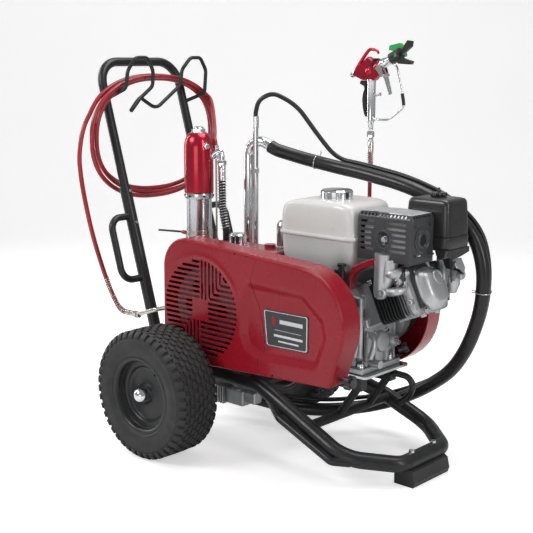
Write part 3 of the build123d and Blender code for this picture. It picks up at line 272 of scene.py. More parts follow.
class Piece:
    """Collects shapes in millimetres and turns them into one object."""

    def __init__(self):
        self.points = []
        self.faces = []

    def add(self, points, faces):
        start = len(self.points)
        self.points += [Vector(p) for p in points]
        self.faces += [tuple(start + i for i in face) for face in faces]

    def rings(self, rings, closed_ring=True, cap=True, loop=False):
        """Skin over rings of points; loop joins the last ring to the first."""
        count = len(rings[0])
        faces = []
        for i in range(len(rings) if loop else len(rings) - 1):
            a, b = i * count, (i + 1) % len(rings) * count
            for j in range(count if closed_ring else count - 1):
                k = (j + 1) % count
                faces.append((a + j, a + k, b + k, b + j))
        if cap and not loop:
            last = (len(rings) - 1) * count
            faces += [tuple(reversed(range(count))), tuple(range(last, last + count))]
        self.add([p for ring in rings for p in ring], faces)

    def turned(self, profile, centre=(0, 0, 0), axis=UP, steps=64, loop=False):
        """Surface of revolution of (radius, height) points."""
        u, v, w = frame_of(axis)
        centre = Vector(centre)
        self.rings([circle(centre + w * h, u, v, max(radius, 0.02), steps) for radius, h in profile], loop=loop)

    def tube(self, path, radius, steps=12, loop=False):
        """Round bar along a path; radius is a number or one number for each point."""
        path = [Vector(p) for p in path]
        radii = radius if isinstance(radius, list) else [radius] * len(path)
        self.rings([circle(point, u, v, r, steps) for (point, u, v), r in zip(turned_frames(path, loop), radii)],
                   loop=loop)

    def bent(self, points, radius, steps=12, per_span=8):
        """Round bar along a smooth curve through the points."""
        self.tube(smooth_path(points, per_span), radius, steps)

    def prism(self, outline, origin, u, v, depth, chamfer=0.6):
        """Plate with an outline of (u, v) points, raised by depth, its top edge chamfered."""
        origin, u, v = Vector(origin), Vector(u), Vector(v)
        w = u.cross(v)
        outline = outline if signed_area(outline) > 0 else list(reversed(outline))
        levels = ((outline, 0.0), (outline, depth - chamfer), (shrunk(outline, chamfer), depth))
        self.rings([[origin + u * a + v * b + w * h for a, b in points] for points, h in levels])

    def bolt(self, centre, axis, across, height, washer=0.0):
        """Hexagon head with a washer under it, and a chamfered top."""
        u, v, w = frame_of(axis)
        centre = Vector(centre)
        if washer:
            self.turned([(washer, 0), (washer, 0.9), (washer - 0.4, 1.3), (across * 0.5, 1.3)], centre, axis, 24)
            centre = centre + w * 1.3
        radius = across / math.sqrt(3)
        self.rings([circle(centre + w * h, u, v, radius * shrink, 6)
                    for shrink, h in ((1, 0), (1, height * 0.8), (0.84, height))])

    def coil(self, path, coil_radius, pitch, wire, steps_per_turn=14, wire_steps=7):
        """Wire wound round a path."""
        path = [Vector(p) for p in path]
        lengths = [0.0]
        for a, b in zip(path, path[1:]):
            lengths.append(lengths[-1] + (b - a).length)
        total = lengths[-1]
        count = max(8, int(total / pitch * steps_per_turn))
        u = None
        wound = []
        k = 0
        for i in range(count + 1):
            s = total * i / count
            while k < len(path) - 2 and lengths[k + 1] < s:
                k += 1
            t = (s - lengths[k]) / max(1e-6, lengths[k + 1] - lengths[k])
            along = (path[k + 1] - path[k]).normalized()
            u = frame_of(along)[0] if u is None else u
            u = (u - along * u.dot(along)).normalized()
            angle = 2 * math.pi * s / pitch
            outward = u * math.cos(angle) + along.cross(u) * math.sin(angle)
            wound.append(path[k].lerp(path[k + 1], t) + outward * coil_radius)
        self.tube(wound, wire, wire_steps)

    def make(self, name, finish, smooth=38.0, body="chassis", replaces=None):
        """The object, riding on body in place of a CAD node; edges sharper than smooth degrees stay sharp."""
        mesh = bpy.data.meshes.new(name)
        mesh.from_pydata([at(*p) for p in self.points], [], self.faces)
        mesh.validate()
        tool = bmesh.new()
        tool.from_mesh(mesh)
        bmesh.ops.recalc_face_normals(tool, faces=tool.faces)
        tool.to_mesh(mesh)
        tool.free()
        obj = bpy.data.objects.new(name, mesh)
        bpy.context.scene.collection.objects.link(obj)
        mesh.materials.append(FINISHES[finish])
        mesh.shade_smooth()
        mesh.set_sharp_from_angle(angle=math.radians(smooth))
        if body:
            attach(obj, body)
        RECORD_SLOT.get(finish, finish)
        if replaces:
            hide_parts(replaces)
        return obj


def thicken(obj, thickness, smooth, outward):
    """Makes an open surface a sheet that keeps its outer side; outward(face) is positive on faces that look out."""
    tool = bmesh.new()
    tool.from_mesh(obj.data)
    bmesh.ops.remove_doubles(tool, verts=tool.verts, dist=0.02 * MM)
    bmesh.ops.recalc_face_normals(tool, faces=tool.faces)
    if sum(outward(face) * face.calc_area() for face in tool.faces) < 0:
        bmesh.ops.reverse_faces(tool, faces=tool.faces)
    tool.to_mesh(obj.data)
    tool.free()
    wall = obj.modifiers.new("wall", "SOLIDIFY")
    wall.thickness = thickness * MM
    wall.offset = -1
    graph = bpy.context.evaluated_depsgraph_get()
    mesh = bpy.data.meshes.new_from_object(obj.evaluated_get(graph))
    obj.modifiers.clear()
    obj.data = mesh
    mesh.shade_smooth()
    mesh.set_sharp_from_angle(angle=math.radians(smooth))


def smooth_path(points, per_span=8):
    """Catmull-Rom curve through the points."""
    points = [Vector(p) for p in points]
    padded = [points[0] * 2 - points[1]] + points + [points[-1] * 2 - points[-2]]
    path = []
    for i in range(1, len(padded) - 2):
        a, b, c, d = padded[i - 1:i + 3]
        for j in range(per_span):
            t = j / per_span
            path.append(0.5 * ((2 * b) + (c - a) * t + (2 * a - 5 * b + 4 * c - d) * t * t
                               + (3 * b - a - 3 * c + d) * t ** 3))
    path.append(points[-1])
    return path


# ---------------------------------------------------------------- wheels

WHEEL_RADIUS = 165.0
HALF_TRACK = 260.0
CARCASS = [
    (84.3, 44), (86, 47), (89, 50), (94, 55), (99, 58.3), (101.5, 59.4), (102.5, 60.6), (104, 60.8), (105, 60.2),
    (112, 62), (120, 63.2), (130, 63.3), (139, 62.4), (141, 62.9), (143, 62.6), (144.5, 61.3), (149, 60.2),
    (153.5, 57.5), (157.5, 52.5), (159.6, 46), (160.2, 30), (160.4, 0),
]
ROW_OFFSETS = (-43.5, -29, -14.5, 0, 14.5, 29, 43.5)
BLOCKS_ROUND = 42
BLOCK = [(-9.6, 0), (-6.2, 3.4), (-5.4, 6.0), (5.4, 6.0), (6.2, 3.4), (9.6, 0), (6.2, -3.4), (5.4, -6.0),
         (-5.4, -6.0), (-6.2, -3.4)]
SHOULDER = [(164.6, 50.5), (163.6, 53.5), (159.5, 58.6), (153, 62.4), (148.5, 63.2), (147, 61.0), (156, 52.0),
            (159, 49.5)]


TYRE_BORE = [(92, -40), (104, -48), (120, -51), (138, -50), (149, -42), (152, 0), (149, 42), (138, 50), (120, 51),
             (104, 48), (92, 40)]


def tyre(side, name):
    piece = Piece()
    centre = Vector((0, side * HALF_TRACK, WHEEL_RADIUS))
    axis = Vector((0, side, 0))
    piece.turned(CARCASS + [(r, -h) for r, h in reversed(CARCASS[:-1])] + TYRE_BORE, centre, axis, 96, loop=True)
    step = 2 * math.pi / BLOCKS_ROUND

    def spot(angle, radius, height):
        return centre + axis * height + Vector((math.cos(angle), 0, math.sin(angle))) * radius

    for row, offset in enumerate(ROW_OFFSETS):
        crown = WHEEL_RADIUS - 1.2 * (abs(offset) / 44) ** 2
        for i in range(BLOCKS_ROUND):
            middle = step * (i + 0.5 * (row % 2))
            piece.rings([[spot(middle + a * grow / 160, radius, offset + b * grow) for a, b in BLOCK]
                         for radius, grow in ((158.5, 1.0), (crown - 0.8, 0.97), (crown, 0.86))])
    for flip in (-1, 1):
        for i in range(BLOCKS_ROUND):
            middle = step * (i + 0.25 + 0.25 * flip)
            piece.rings([[spot(middle + a / 160, 155 + (radius - 155) * grow, flip * height * (0.5 + grow / 2))
                          for radius, height in SHOULDER]
                         for a, grow in ((-7.2, 0.985), (-6.2, 1.0), (6.2, 1.0), (7.2, 0.985))])
    piece.make(name + "_tyre_turf", "tyre_black", body=name + "_wheel", replaces=name + "_tyre")


tyre(-1, "near")
tyre(1, "far")


RIM_SECTION = [
    (0, 33), (21, 33), (22, 35), (23.5, 35.5), (26, 33.5), (30, 31.8), (45, 30), (60, 28.5), (66, 28.6), (68.5, 30.5),
    (70, 34), (72.5, 37), (76, 38), (80, 37), (82.5, 37.5), (84, 41), (85.5, 47), (87, 53), (89.5, 56.8), (93, 58.6),
    (97, 58.4), (98.5, 56.5), (98, 53), (90, 50), (84, 44), (84, -44), (90, -50), (98, -53), (98.5, -56.5),
    (97, -58.4), (93, -58.6), (89, -56), (84, -47), (80, -40), (76, -20), (70, 20), (60, 24), (30, 26), (0, 26),
]
CAP_SECTION = [(25, 34), (24.6, 36), (23, 41), (21.2, 48), (19, 55), (16, 61), (12, 65.4), (6.5, 68), (0, 68.8)]


def rim(side, name):
    centre = (0, side * HALF_TRACK, WHEEL_RADIUS)
    pressing = Piece()
    pressing.turned(RIM_SECTION, centre, (0, side, 0), 96)
    x, z = 78 * math.cos(0.9), WHEEL_RADIUS + 78 * math.sin(0.9)
    pressing.tube([(x, side * (HALF_TRACK + 36), z), (x, side * (HALF_TRACK + 52), z)], 3.6, 14)
    pressing.make(name + "_rim_pressing", "frame_black", 40, name + "_wheel", replaces=name + "_rim")
    cap = Piece()
    cap.turned(CAP_SECTION, centre, (0, side, 0))
    cap.make(name + "_dust_cap", "chrome", 50, name + "_wheel", replaces=name + "_hub_cap")


# ---------------------------------------------------------------- fuel tank

TANK_MIDDLE = (306.0, 74.0)
TANK_HALF = (121.0, 88.5)
TANK_SECTIONS = [
    (477, 0.55), (478, 0.74), (481, 0.83), (487, 0.885), (497, 0.92), (515, 0.945), (535, 0.958), (560, 0.968),
    (562, 0.975), (563.5, 1.01), (566.5, 1.015), (569.5, 1.01), (571, 0.985), (573, 0.978), (588, 0.972),
    (605, 0.965), (620, 0.953), (630, 0.938), (637, 0.915), (642, 0.875), (646, 0.81), (648.6, 0.7), (650.5, 0.5),
    (651.5, 0.3),
]


TANK_SEAM, TANK_SHOULDER, TANK_CROWN = 560, 600, 636
SHROUD_SIDE = 149.5


def fuel_tank():
    piece = Piece()

    def place(a, b):
        x = TANK_MIDDLE[0] + TANK_HALF[0] * a * scale
        y = TANK_MIDDLE[1] + TANK_HALF[1] * b * (scale * 0.5 + 0.5 if z > TANK_SHOULDER else scale)
        if y < 60:
            # the lower near corner is cut back to clear the exhaust
            y += 17 * clamped((535 - z) / 40) * math.exp(-((x - 392) / 26) ** 2)
        if z < TANK_SEAM:
            y = min(y, SHROUD_SIDE)
        crown = 2.0 * (1 - ((x - 330) / 130) ** 2) if z > TANK_CROWN else 0.0
        return (x, y, z + crown - 7 * max(0.0, (250 - x) / 60) * max(0.0, (z - TANK_SHOULDER) / 50))

    rings = []
    for z, scale in TANK_SECTIONS:
        rings.append(squared_ring(96, 7.5, place))
    piece.rings(rings)
    piece.turned([(47, 645), (46, 651.5), (43.5, 653), (42, 653), (41, 650.8), (20, 650.6)], (320, 60, 0))
    piece.make("fuel_tank_shell", "tank_white", 50, replaces="fuel_tank")


fuel_tank()
rim(-1, "near")
rim(1, "far")


# ---------------------------------------------------------------- belt guard

GUARD_FACE = -160.0
GUARD_BACK = -97.0
GUARD_CORNERS = [(-80, 217), (-76, 548), (572, 509), (478, 246)]
GUARD_BENDS = (6, 80, 136, 8)
GUARD_MIDDLE = 380
EDGE_ROUND = 5.8
SPLIT = [(262, 0), (251, 513), (235, 468), (240, 437), (257, 405), (271, 347), (272, 301), (258, 273), (255, 0)]
SPLIT_GAP = 1.3
VENT_CENTRE = (59.0, 368.0)
VENT_RADIUS = 129.0
VENT_PITCH = 12.9
SLOT_HALF = 3.5
RECESS_CORNERS = [(208, 466), (400, 460), (466, 408), (478, 360), (446, 280), (257, 270), (212, 287), (194, 330)]
RECESS_DEPTH = 6.5
RECESS_SLOPE = 25.0
BADGE_CORNERS = [(271, 403), (413, 405), (412, 317), (281, 313)]


def filleted(corners, radii, spacing=6.0):
    """Closed outline with rounded corners, as evenly spread points."""
    count = len(corners)
    path = []

    def run_to(point):
        gap = point - path[-1]
        runs = max(1, int(gap.length / spacing))
        path.extend([path[-1] + gap * k / runs for k in range(1, runs)])

    for i in range(count):
        before, here, after = (Vector(corners[(i + k) % count]) for k in (-1, 0, 1))
        a, b = (before - here).normalized(), (after - here).normalized()
        radius = radii[i] if isinstance(radii, tuple) else radii
        half = a.angle(b) / 2
        reach = radius / math.tan(half)
        centre = here + (a + b).normalized() * radius / math.sin(half)
        start, end = here + a * reach, here + b * reach
        first = math.atan2(start.y - centre.y, start.x - centre.x)
        sweep = math.atan2(end.y - centre.y, end.x - centre.x) - first
        sweep = (sweep + math.pi) % (2 * math.pi) - math.pi
        steps = max(4, int(abs(sweep) * radius / spacing * 1.5))
        arc = [centre + Vector((math.cos(first + sweep * k / steps), math.sin(first + sweep * k / steps))) * radius
               for k in range(steps + 1)]
        if path:
            run_to(arc[0])
        path += arc
    run_to(path[0])
    return path


def inside(point, polygon):
    crossed = False
    x, z = point
    for i, a in enumerate(polygon):
        b = polygon[i - 1]
        if (a[1] > z) != (b[1] > z) and x < (b[0] - a[0]) * (z - a[1]) / (b[1] - a[1]) + a[0]:
            crossed = not crossed
    return crossed


def to_segments(point, polygon, closed=True):
    best = 1e9
    p = Vector(point)
    for i in range(0 if closed else 1, len(polygon)):
        a, b = Vector(polygon[i - 1]), Vector(polygon[i])
        ab = b - a
        t = clamped((p - a).dot(ab) / max(ab.length_squared, 1e-9))
        best = min(best, (p - a - ab * t).length)
    return best


def vent_slots():
    """Start and end of each slot: half of the pinwheel, then the same half turned by 180 degrees."""
    slots = []
    reach = VENT_RADIUS - 4
    hub = 2.4 * VENT_PITCH
    rows = int(reach / VENT_PITCH)
    for row in range(-rows, rows + 1):
        v = (row + 0.5) * VENT_PITCH
        if abs(v) >= reach:
            continue
        left = -math.sqrt(reach * reach - v * v)
        right = -3.5 if v > hub else (-hub if v > -hub else v - 5)
        if right - left > -1:
            slots.append((left, v, max(left, right), v))
    for column in range(1, rows + 1):
        u = (column - 0.4) * VENT_PITCH
        top = math.sqrt(max(reach * reach - u * u, 0.0))
        bottom = max(u + 3, hub)
        if top - bottom > -1:
            slots.append((u, bottom, u, max(bottom, top)))
    x, z = VENT_CENTRE
    return [((x + a, z + b), (x + c, z + d)) for a, b, c, d in slots + [(-c, -d, -a, -b) for a, b, c, d in slots]]


def slot_outline(start, end, half):
    a, b = Vector(start), Vector(end)
    along = (b - a).normalized() if (b - a).length > 0.1 else Vector((1, 0))
    angle = math.atan2(along.y, along.x)
    loop = []
    for centre, turn in ((b, -math.pi / 2), (a, math.pi / 2)):
        for k in range(7):
            t = angle + turn + math.pi * k / 6
            loop.append(centre + Vector((math.cos(t), math.sin(t))) * half)
    return loop


RECESS = filleted(RECESS_CORNERS, 22, 8)
RECESS_LEFT = 190
RIDGE_RADIUS, RIDGE_HALF, RIDGE_HEIGHT = 138, 8, 2.2


def face_height(x, z):
    """How far the front face stands in from its flat plane: a recess for the badge, a ridge round the vents."""
    depth = 0.0
    if x > RECESS_LEFT and inside((x, z), RECESS):
        t = min(1.0, to_segments((x, z), RECESS) / RECESS_SLOPE)
        depth = RECESS_DEPTH * t * t * (3 - 2 * t)
    radius = math.hypot(x - VENT_CENTRE[0], z - VENT_CENTRE[1])
    if abs(radius - RIDGE_RADIUS) < RIDGE_HALF and z > VENT_CENTRE[1]:
        ridge = 0.5 + 0.5 * math.cos((radius - RIDGE_RADIUS) / RIDGE_HALF * math.pi)
        around = math.degrees(math.atan2(z - VENT_CENTRE[1], x - VENT_CENTRE[0]))
        fade = clamped(min((around - 22) / 15, (128 - around) / 15))
        depth -= RIDGE_HEIGHT * ridge * fade
    return depth


def face_sheet(border, holes, spacing, slot_half):
    """Triangles filling a border around its holes, with extra points to carry the pressed shape."""
    loops = [border] + [slot_outline(a, b, slot_half) for a, b in holes]
    points, edges = [], []
    for loop in loops:
        first = len(points)
        points += [Vector((p[0], p[1])) for p in loop]
        edges += [(first + i, first + (i + 1) % len(loop)) for i in range(len(loop))]

    def clear(point, margin):
        return all(to_segments(point, hole, False) >= slot_half + margin for hole in holes)

    low_x, low_z = (min(p[k] for p in border) for k in (0, 1))
    high_x, high_z = (max(p[k] for p in border) for k in (0, 1))
    for row in range(int((high_z - low_z) / spacing) + 1):
        for column in range(int((high_x - low_x) / spacing) + 1):
            p = Vector((low_x + (column + 0.5 * (row % 2)) * spacing, low_z + row * spacing))
            if inside(p, border) and to_segments(p, border) >= spacing * 0.45 and clear(p, 1.4):
                points.append(p)
    result = delaunay_2d_cdt(points, edges, [], 0, 1e-4)
    flat, faces = result[0], result[2]
    kept = []
    for face in faces:
        middle = sum((flat[i] for i in face), Vector((0, 0))) / len(face)
        if inside(middle, border) and clear(middle, -0.05):
            kept.append(tuple(face))
    return flat, kept


def guard_half(side, name):
    """One half of the guard: side is 1 in front of the split and -1 behind it."""
    outline = filleted(GUARD_CORNERS, GUARD_BENDS)
    if signed_area(outline) < 0:
        outline.reverse()
    gap = side * SPLIT_GAP / 2

    def limit(point):
        return SPLIT[0][0] if point.y > GUARD_MIDDLE else SPLIT[-1][0]

    ring = []
    for i, here in enumerate(outline):
        along = (outline[(i + 1) % len(outline)] - outline[i - 1]).normalized()
        ring.append((here, Vector((-along.y, along.x)), side * (here.x - limit(here)) > 1.0))
    start = next(i for i in range(len(ring)) if ring[i][2] and not ring[i - 1][2])
    arc = [(p, inward) for p, inward, keep in ring[start:] + ring[:start] if keep]

    def end_on_split(end, beside):
        p, inward = arc[end]
        step = arc[beside][0] - p
        return p + step * ((limit(p) + gap - p.x) / step.x), inward

    arc = [end_on_split(0, 1)] + arc + [end_on_split(-1, -2)]
    levels = [(0.0, y) for y in (GUARD_BACK, -108, -122, -136, -148, GUARD_FACE + EDGE_ROUND)]
    for k in range(1, 6):
        angle = math.pi / 2 * k / 5
        levels.append((EDGE_ROUND * (1 - math.cos(angle)), GUARD_FACE + EDGE_ROUND * (1 - math.sin(angle))))
    rings = [[(p.x + n.x * inset, y, p.y + n.y * inset) for p, n in arc] for inset, y in levels]
    piece = Piece()
    piece.rings(rings, closed_ring=False, cap=False)
    border = [Vector((x, z)) for x, y, z in rings[-1]]
    from_top = border[-1].y > border[0].y
    top, bottom = (border[-1], border[0]) if from_top else (border[0], border[-1])
    split = [(top.x - gap, top.y)] + SPLIT[1:-1] + [(bottom.x - gap, bottom.y)]
    inner = [Vector((p.x + gap, p.y)) for p in smooth_path([(x, z, 0) for x, z in split], 7)[1:-1]]
    if not from_top:
        inner.reverse()
    flat, faces = face_sheet(border + inner, [] if side > 0 else vent_slots(), 4.6, SLOT_HALF)
    piece.add([(p.x, GUARD_FACE + face_height(p.x, p.y), p.y) for p in flat], faces)
    obj = piece.make(name + "_shell", "guard_red", 40, replaces=name)
    thicken(obj, 3, 40, lambda face: -face.normal.y)


guard_half(1, "guard_front")
guard_half(-1, "guard_rear")


def badge():
    floor = GUARD_FACE + RECESS_DEPTH
    corners = filleted(BADGE_CORNERS, 5, 3)
    plate = Piece()
    plate.prism([tuple(p) for p in corners], (0, floor, 0), FORWARD, UP, 1.6, 0.5)
    plate.make("badge_plate", "badge", 30, replaces="guard_badge")
    border = Piece()
    middle = sum(corners, Vector((0, 0))) / len(corners)
    border.rings([[(middle.x + (p.x - middle.x) * shrink, floor - y, middle.y + (p.y - middle.y) * (shrink - 0.012))
                   for p in corners] for shrink, y in ((0.965, 1.4), (0.96, 2.3), (0.925, 2.3), (0.92, 1.4))],
                   loop=True)
    border.make("badge_border", "zinc", 30)
    art = Piece()
    drop = [(306 + 8.5 * math.sin(a) * math.sin(a / 2) ** 0.6, 379 + 12 * math.cos(a))
            for a in [2 * math.pi * k / 28 for k in range(28)]]
    art.prism(drop, (0, floor - 1.5, 0), FORWARD, UP, 0.8, 0.3)
    art.make("badge_drop", "guard_red", 30)
    bars = Piece()
    for x0, x1, z0, z1 in ((324, 396, 374, 384), (308, 392, 357, 358.2), (306, 396, 341, 347), (320, 384, 329, 333)):
        bars.prism([(x0, z0), (x1, z0), (x1, z1), (x0, z1)], (0, floor - 1.5, 0), FORWARD, UP, 0.8, 0.3)
    bars.make("badge_bars", "zinc", 30)


badge()


# ---------------------------------------------------------------- muffler shield and exhaust

SHIELD_LOW = (429.0, 0.0, 526.0)
SHIELD_HIGH = (588.0, 86.0, 643.0)
SHIELD_BEND = 8.0
BAND_RISE = 10.0
BAND_INSET = 7.5
DIMPLE = (506.0, 577.0)
OUTLET = (42.0, 580.0)


SHEET = 1.4


def muffler_shield():
    x0, y0, z0 = SHIELD_LOW
    x1, y1, z1 = SHIELD_HIGH
    near_length = x1 - x0 - 2 * SHIELD_BEND
    arc = math.pi / 2 * SHIELD_BEND
    side_length = y1 - y0 - SHIELD_BEND
    total = side_length * 2 + arc * 2 + near_length
    wall_height = z1 - 4 - BAND_RISE - z0
    start = side_length + arc
    right = start + near_length + arc

    def edge(u):
        """Point and inward direction on the outline, from the back left corner round the near face."""
        mirrored = u > total / 2
        u = total - u if mirrored else u
        if u < side_length:
            point, inward = Vector((x0, y1 - u)), Vector((1, 0))
        elif u < start:
            angle = (u - side_length) / SHIELD_BEND
            inward = Vector((math.cos(angle), math.sin(angle)))
            point = Vector((x0 + SHIELD_BEND, y0 + SHIELD_BEND)) - inward * SHIELD_BEND
        else:
            point, inward = Vector((x0 + SHIELD_BEND + u - start, y0)), Vector((0, 1))
        if mirrored:
            point.x, inward.x = x0 + x1 - point.x, -inward.x
        return point, inward

    def place(u, v):
        point, inward = edge(u)
        point = point + inward * BAND_INSET * max(0.0, v - wall_height) / BAND_RISE
        return (point.x, point.y, z0 + v)

    def outlooking(x, y, z):
        middle = at(x, y, z)
        return lambda face: face.normal.dot(face.calc_center_median() - middle)

    holes = []
    for v, first_end, second in ((91, 40, 76), (78, 40, 76), (65, 33, 90), (52, 33, 90), (39, 33, 90), (26, 40, 80)):
        holes += [((start + 7, v), (start + first_end, v)), ((start + second, v), (start + 131, v))]
    holes += [((start + 39.9, 10), (start + 40.1, 10)), ((start + 77.9, 10), (start + 78.1, 10))]
    holes.append(((right + 10, 20), (right + 26, 20)))
    for u in [start + 6 + 10.3 * k for k in range(13)] + [right + 5 + 8.6 * k for k in range(8)]:
        holes.append(((u, wall_height + 4.6), (u, wall_height + 5.4)))
    top = wall_height + BAND_RISE
    border = [Vector((total * k / 60, 0)) for k in range(61)]
    border += [Vector((total, top * k / 10)) for k in range(1, 10)]
    border += [Vector((total * (1 - k / 60), top)) for k in range(61)]
    border += [Vector((0, top * (1 - k / 10))) for k in range(1, 10)]
    flat, faces = face_sheet(border, holes, 4.0, 2.9)
    dimple = Vector((start - SHIELD_BEND - x0 + DIMPLE[0], DIMPLE[1] - z0))
    outlet = Vector((right + OUTLET[0] - y0 - SHIELD_BEND, OUTLET[1] - z0))

    def kept(face):
        middle = sum((flat[i] for i in face), Vector((0, 0))) / len(face)
        return (middle - dimple).length > 18.5 and (middle - outlet).length > 18

    wall = Piece()
    wall.add([place(p.x, p.y) for p in flat], [f for f in faces if kept(f)])
    sheet = wall.make("muffler_shield_sheet", "dark_steel", 35, replaces="muffler_shield")
    thicken(sheet, SHEET, 35, outlooking((x0 + x1) / 2, y1, 560))
    outline = [point + inward * (BAND_INSET - 0.4) for point, inward in (edge(total * k / 79) for k in range(80))]
    holes = [((470, 58), (476, 60)), ((505, 48), (511, 50)), ((548, 60), (558, 60)), ((452, 30), (452.2, 30)),
             ((566, 30), (566.2, 30))]
    flat, faces = face_sheet(outline, holes, 9.0, 3.2)
    lid = Piece()
    lid.add([(p.x, p.y, z1 - 4 + 3.6 * (1 - ((p.x - 505) / 76) ** 2)) for p in flat], faces)
    thicken(lid.make("muffler_lid", "worn_steel", 35), SHEET, 35, outlooking(505, 37, 600))
    dish = Piece()
    dish.turned([(0, -9.8), (10.5, -9.4), (15.2, -7.4), (18.4, -3), (20, 0), (22, 0.3), (20.5, 1.1), (19, 0.5),
                 (17.5, -2.5), (14.5, -6.5), (10, -8.5), (0, -8.8)], (DIMPLE[0], y0, DIMPLE[1]), NEAR, 48)
    dish.make("shield_dimple", "dark_steel", 50)
    bolt = Piece()
    bolt.bolt((DIMPLE[0], y0 + 8.5, DIMPLE[1]), NEAR, 12, 6, 8)
    bolt.make("shield_bolts", "zinc", 35)
    studs = Piece()
    for y, z in ((13, 546), (71, 546), (13, 614), (71, 614)):
        studs.turned([(3.6, 0), (3.6, 1.4), (2.4, 2.4), (0, 2.5)], (x1, y, z), FORWARD, 20)
    studs.make("shield_studs", "frame_black", 35)
    ring = Piece()
    ring.turned([(0, -17), (15, -17), (15.5, -1), (31, 0), (31, 1.8), (29, 2.4), (25, 2.4), (23.5, 1.0), (20, 0.8),
                 (19, 2.2), (17, 3.6), (14.5, 3.6), (13.5, 2.0), (13.5, -16), (0, -16)], (x1, *OUTLET), FORWARD)
    ring.make("shield_outlet_ring", "dark_steel", 35)


muffler_shield()


DRUM_MIDDLE, DRUM_HALF = (42, 577), (32, 42)


def muffler():
    drum = Piece()
    (y, z), (half_y, half_z) = DRUM_MIDDLE, DRUM_HALF
    drum.rings([squared_ring(64, 3.2, lambda a, b: (x, y + half_y * a * scale, z + half_z * b * scale))
                for x, scale in ((443, 0.86), (444, 0.95), (447, 1.0), (505, 1.0), (506, 1.03), (509, 1.03),
                                 (510, 1.0), (565, 1.0), (569, 0.95),
                                 (570, 0.86))])
    drum.turned([(17, 0), (17, 16), (15, 16.5), (15, 4), (0, 4)], (569, *OUTLET), FORWARD, 40)
    drum.make("muffler_drum", "bare_steel", 40, replaces="muffler")


EXHAUST_STUDS = ((534, 457), (549, 484))


def exhaust():
    pipe = Piece()
    axis = (0.06, 0.0, 1.0)
    profile = [(0, -19), (6, -18.2), (11, -15.8), (15.5, -11), (17.4, -4), (18.2, 4), (18.4, 30), (19.4, 60),
               (21, 92)]
    pipe.turned(profile, (501, 4, 452), axis, 48)
    pipe.tube([(520, 10, 532), (519, 10, 505), (514, 8, 480), (507, 6, 460)], [20, 20, 17, 13], 28)
    pipe.bent([(516, 4, 497), (534, 4, 499), (548, 14, 500), (556, 30, 500)], 12.5, 22, 5)
    pipe.bent([(510, 6, 455), (528, 2, 455), (545, 2, 458), (552, 12, 460), (556, 28, 462)], 9.5, 20, 5)
    pipe.prism([(532, 448), (560, 448), (566, 470), (562, 506), (542, 510), (530, 500)], (0, 26, 0), FORWARD,
               UP, 9, 1.5)
    for x, z in EXHAUST_STUDS:
        pipe.turned([(9.5, 0), (9.5, 22), (8.2, 24.5), (5, 25), (4.4, 21), (0, 21)], (x, 24, z), NEAR, 28)
    pipe.turned([(11, 0), (11, 8), (9, 10), (4.5, 10), (4, 7), (0, 7)], (513, -4, 453), NEAR, 28)
    pipe.make("exhaust_pipe", "cast_aluminium", 45)
    nuts = Piece()
    for x, z in EXHAUST_STUDS:
        nuts.bolt((x, 1, z), NEAR, 9, 4.5, 6)
    nuts.bolt((470, 2, 470), (-0.3, -1, 0), 10, 5, 7)
    nuts.make("exhaust_nuts", "zinc", 35)
    strap = Piece()
    strap.rings([[(x - 2, -4, z + 7), (x - 2, 22, z + 7), (x + 2, 22, z - 7), (x + 2, -4, z - 7)]
                 for x, z in ((413, 452), (415, 480), (424, 496), (452, 510), (486, 524))])
    bracket = strap.make("tank_bracket", "red_paint", 30)
    modifier = bracket.modifiers.new("soft_edges", "BEVEL")
    modifier.width = 1.0 * MM
    modifier.segments = 2
    modifier.limit_method = "ANGLE"
    modifier.angle_limit = math.radians(30)


muffler()
exhaust()


# ---------------------------------------------------------------- cylinder head and crankcase

TILT = math.radians(25)
BORE = Vector((math.cos(TILT), 0, math.sin(TILT)))
BORE_UP = Vector((-math.sin(TILT), 0, math.cos(TILT)))
CRANK = Vector((372, 80, 373))


def bore_point(distance, up=0.0, side=0.0):
    return CRANK + BORE * distance + BORE_UP * up + Vector((0, side, 0))


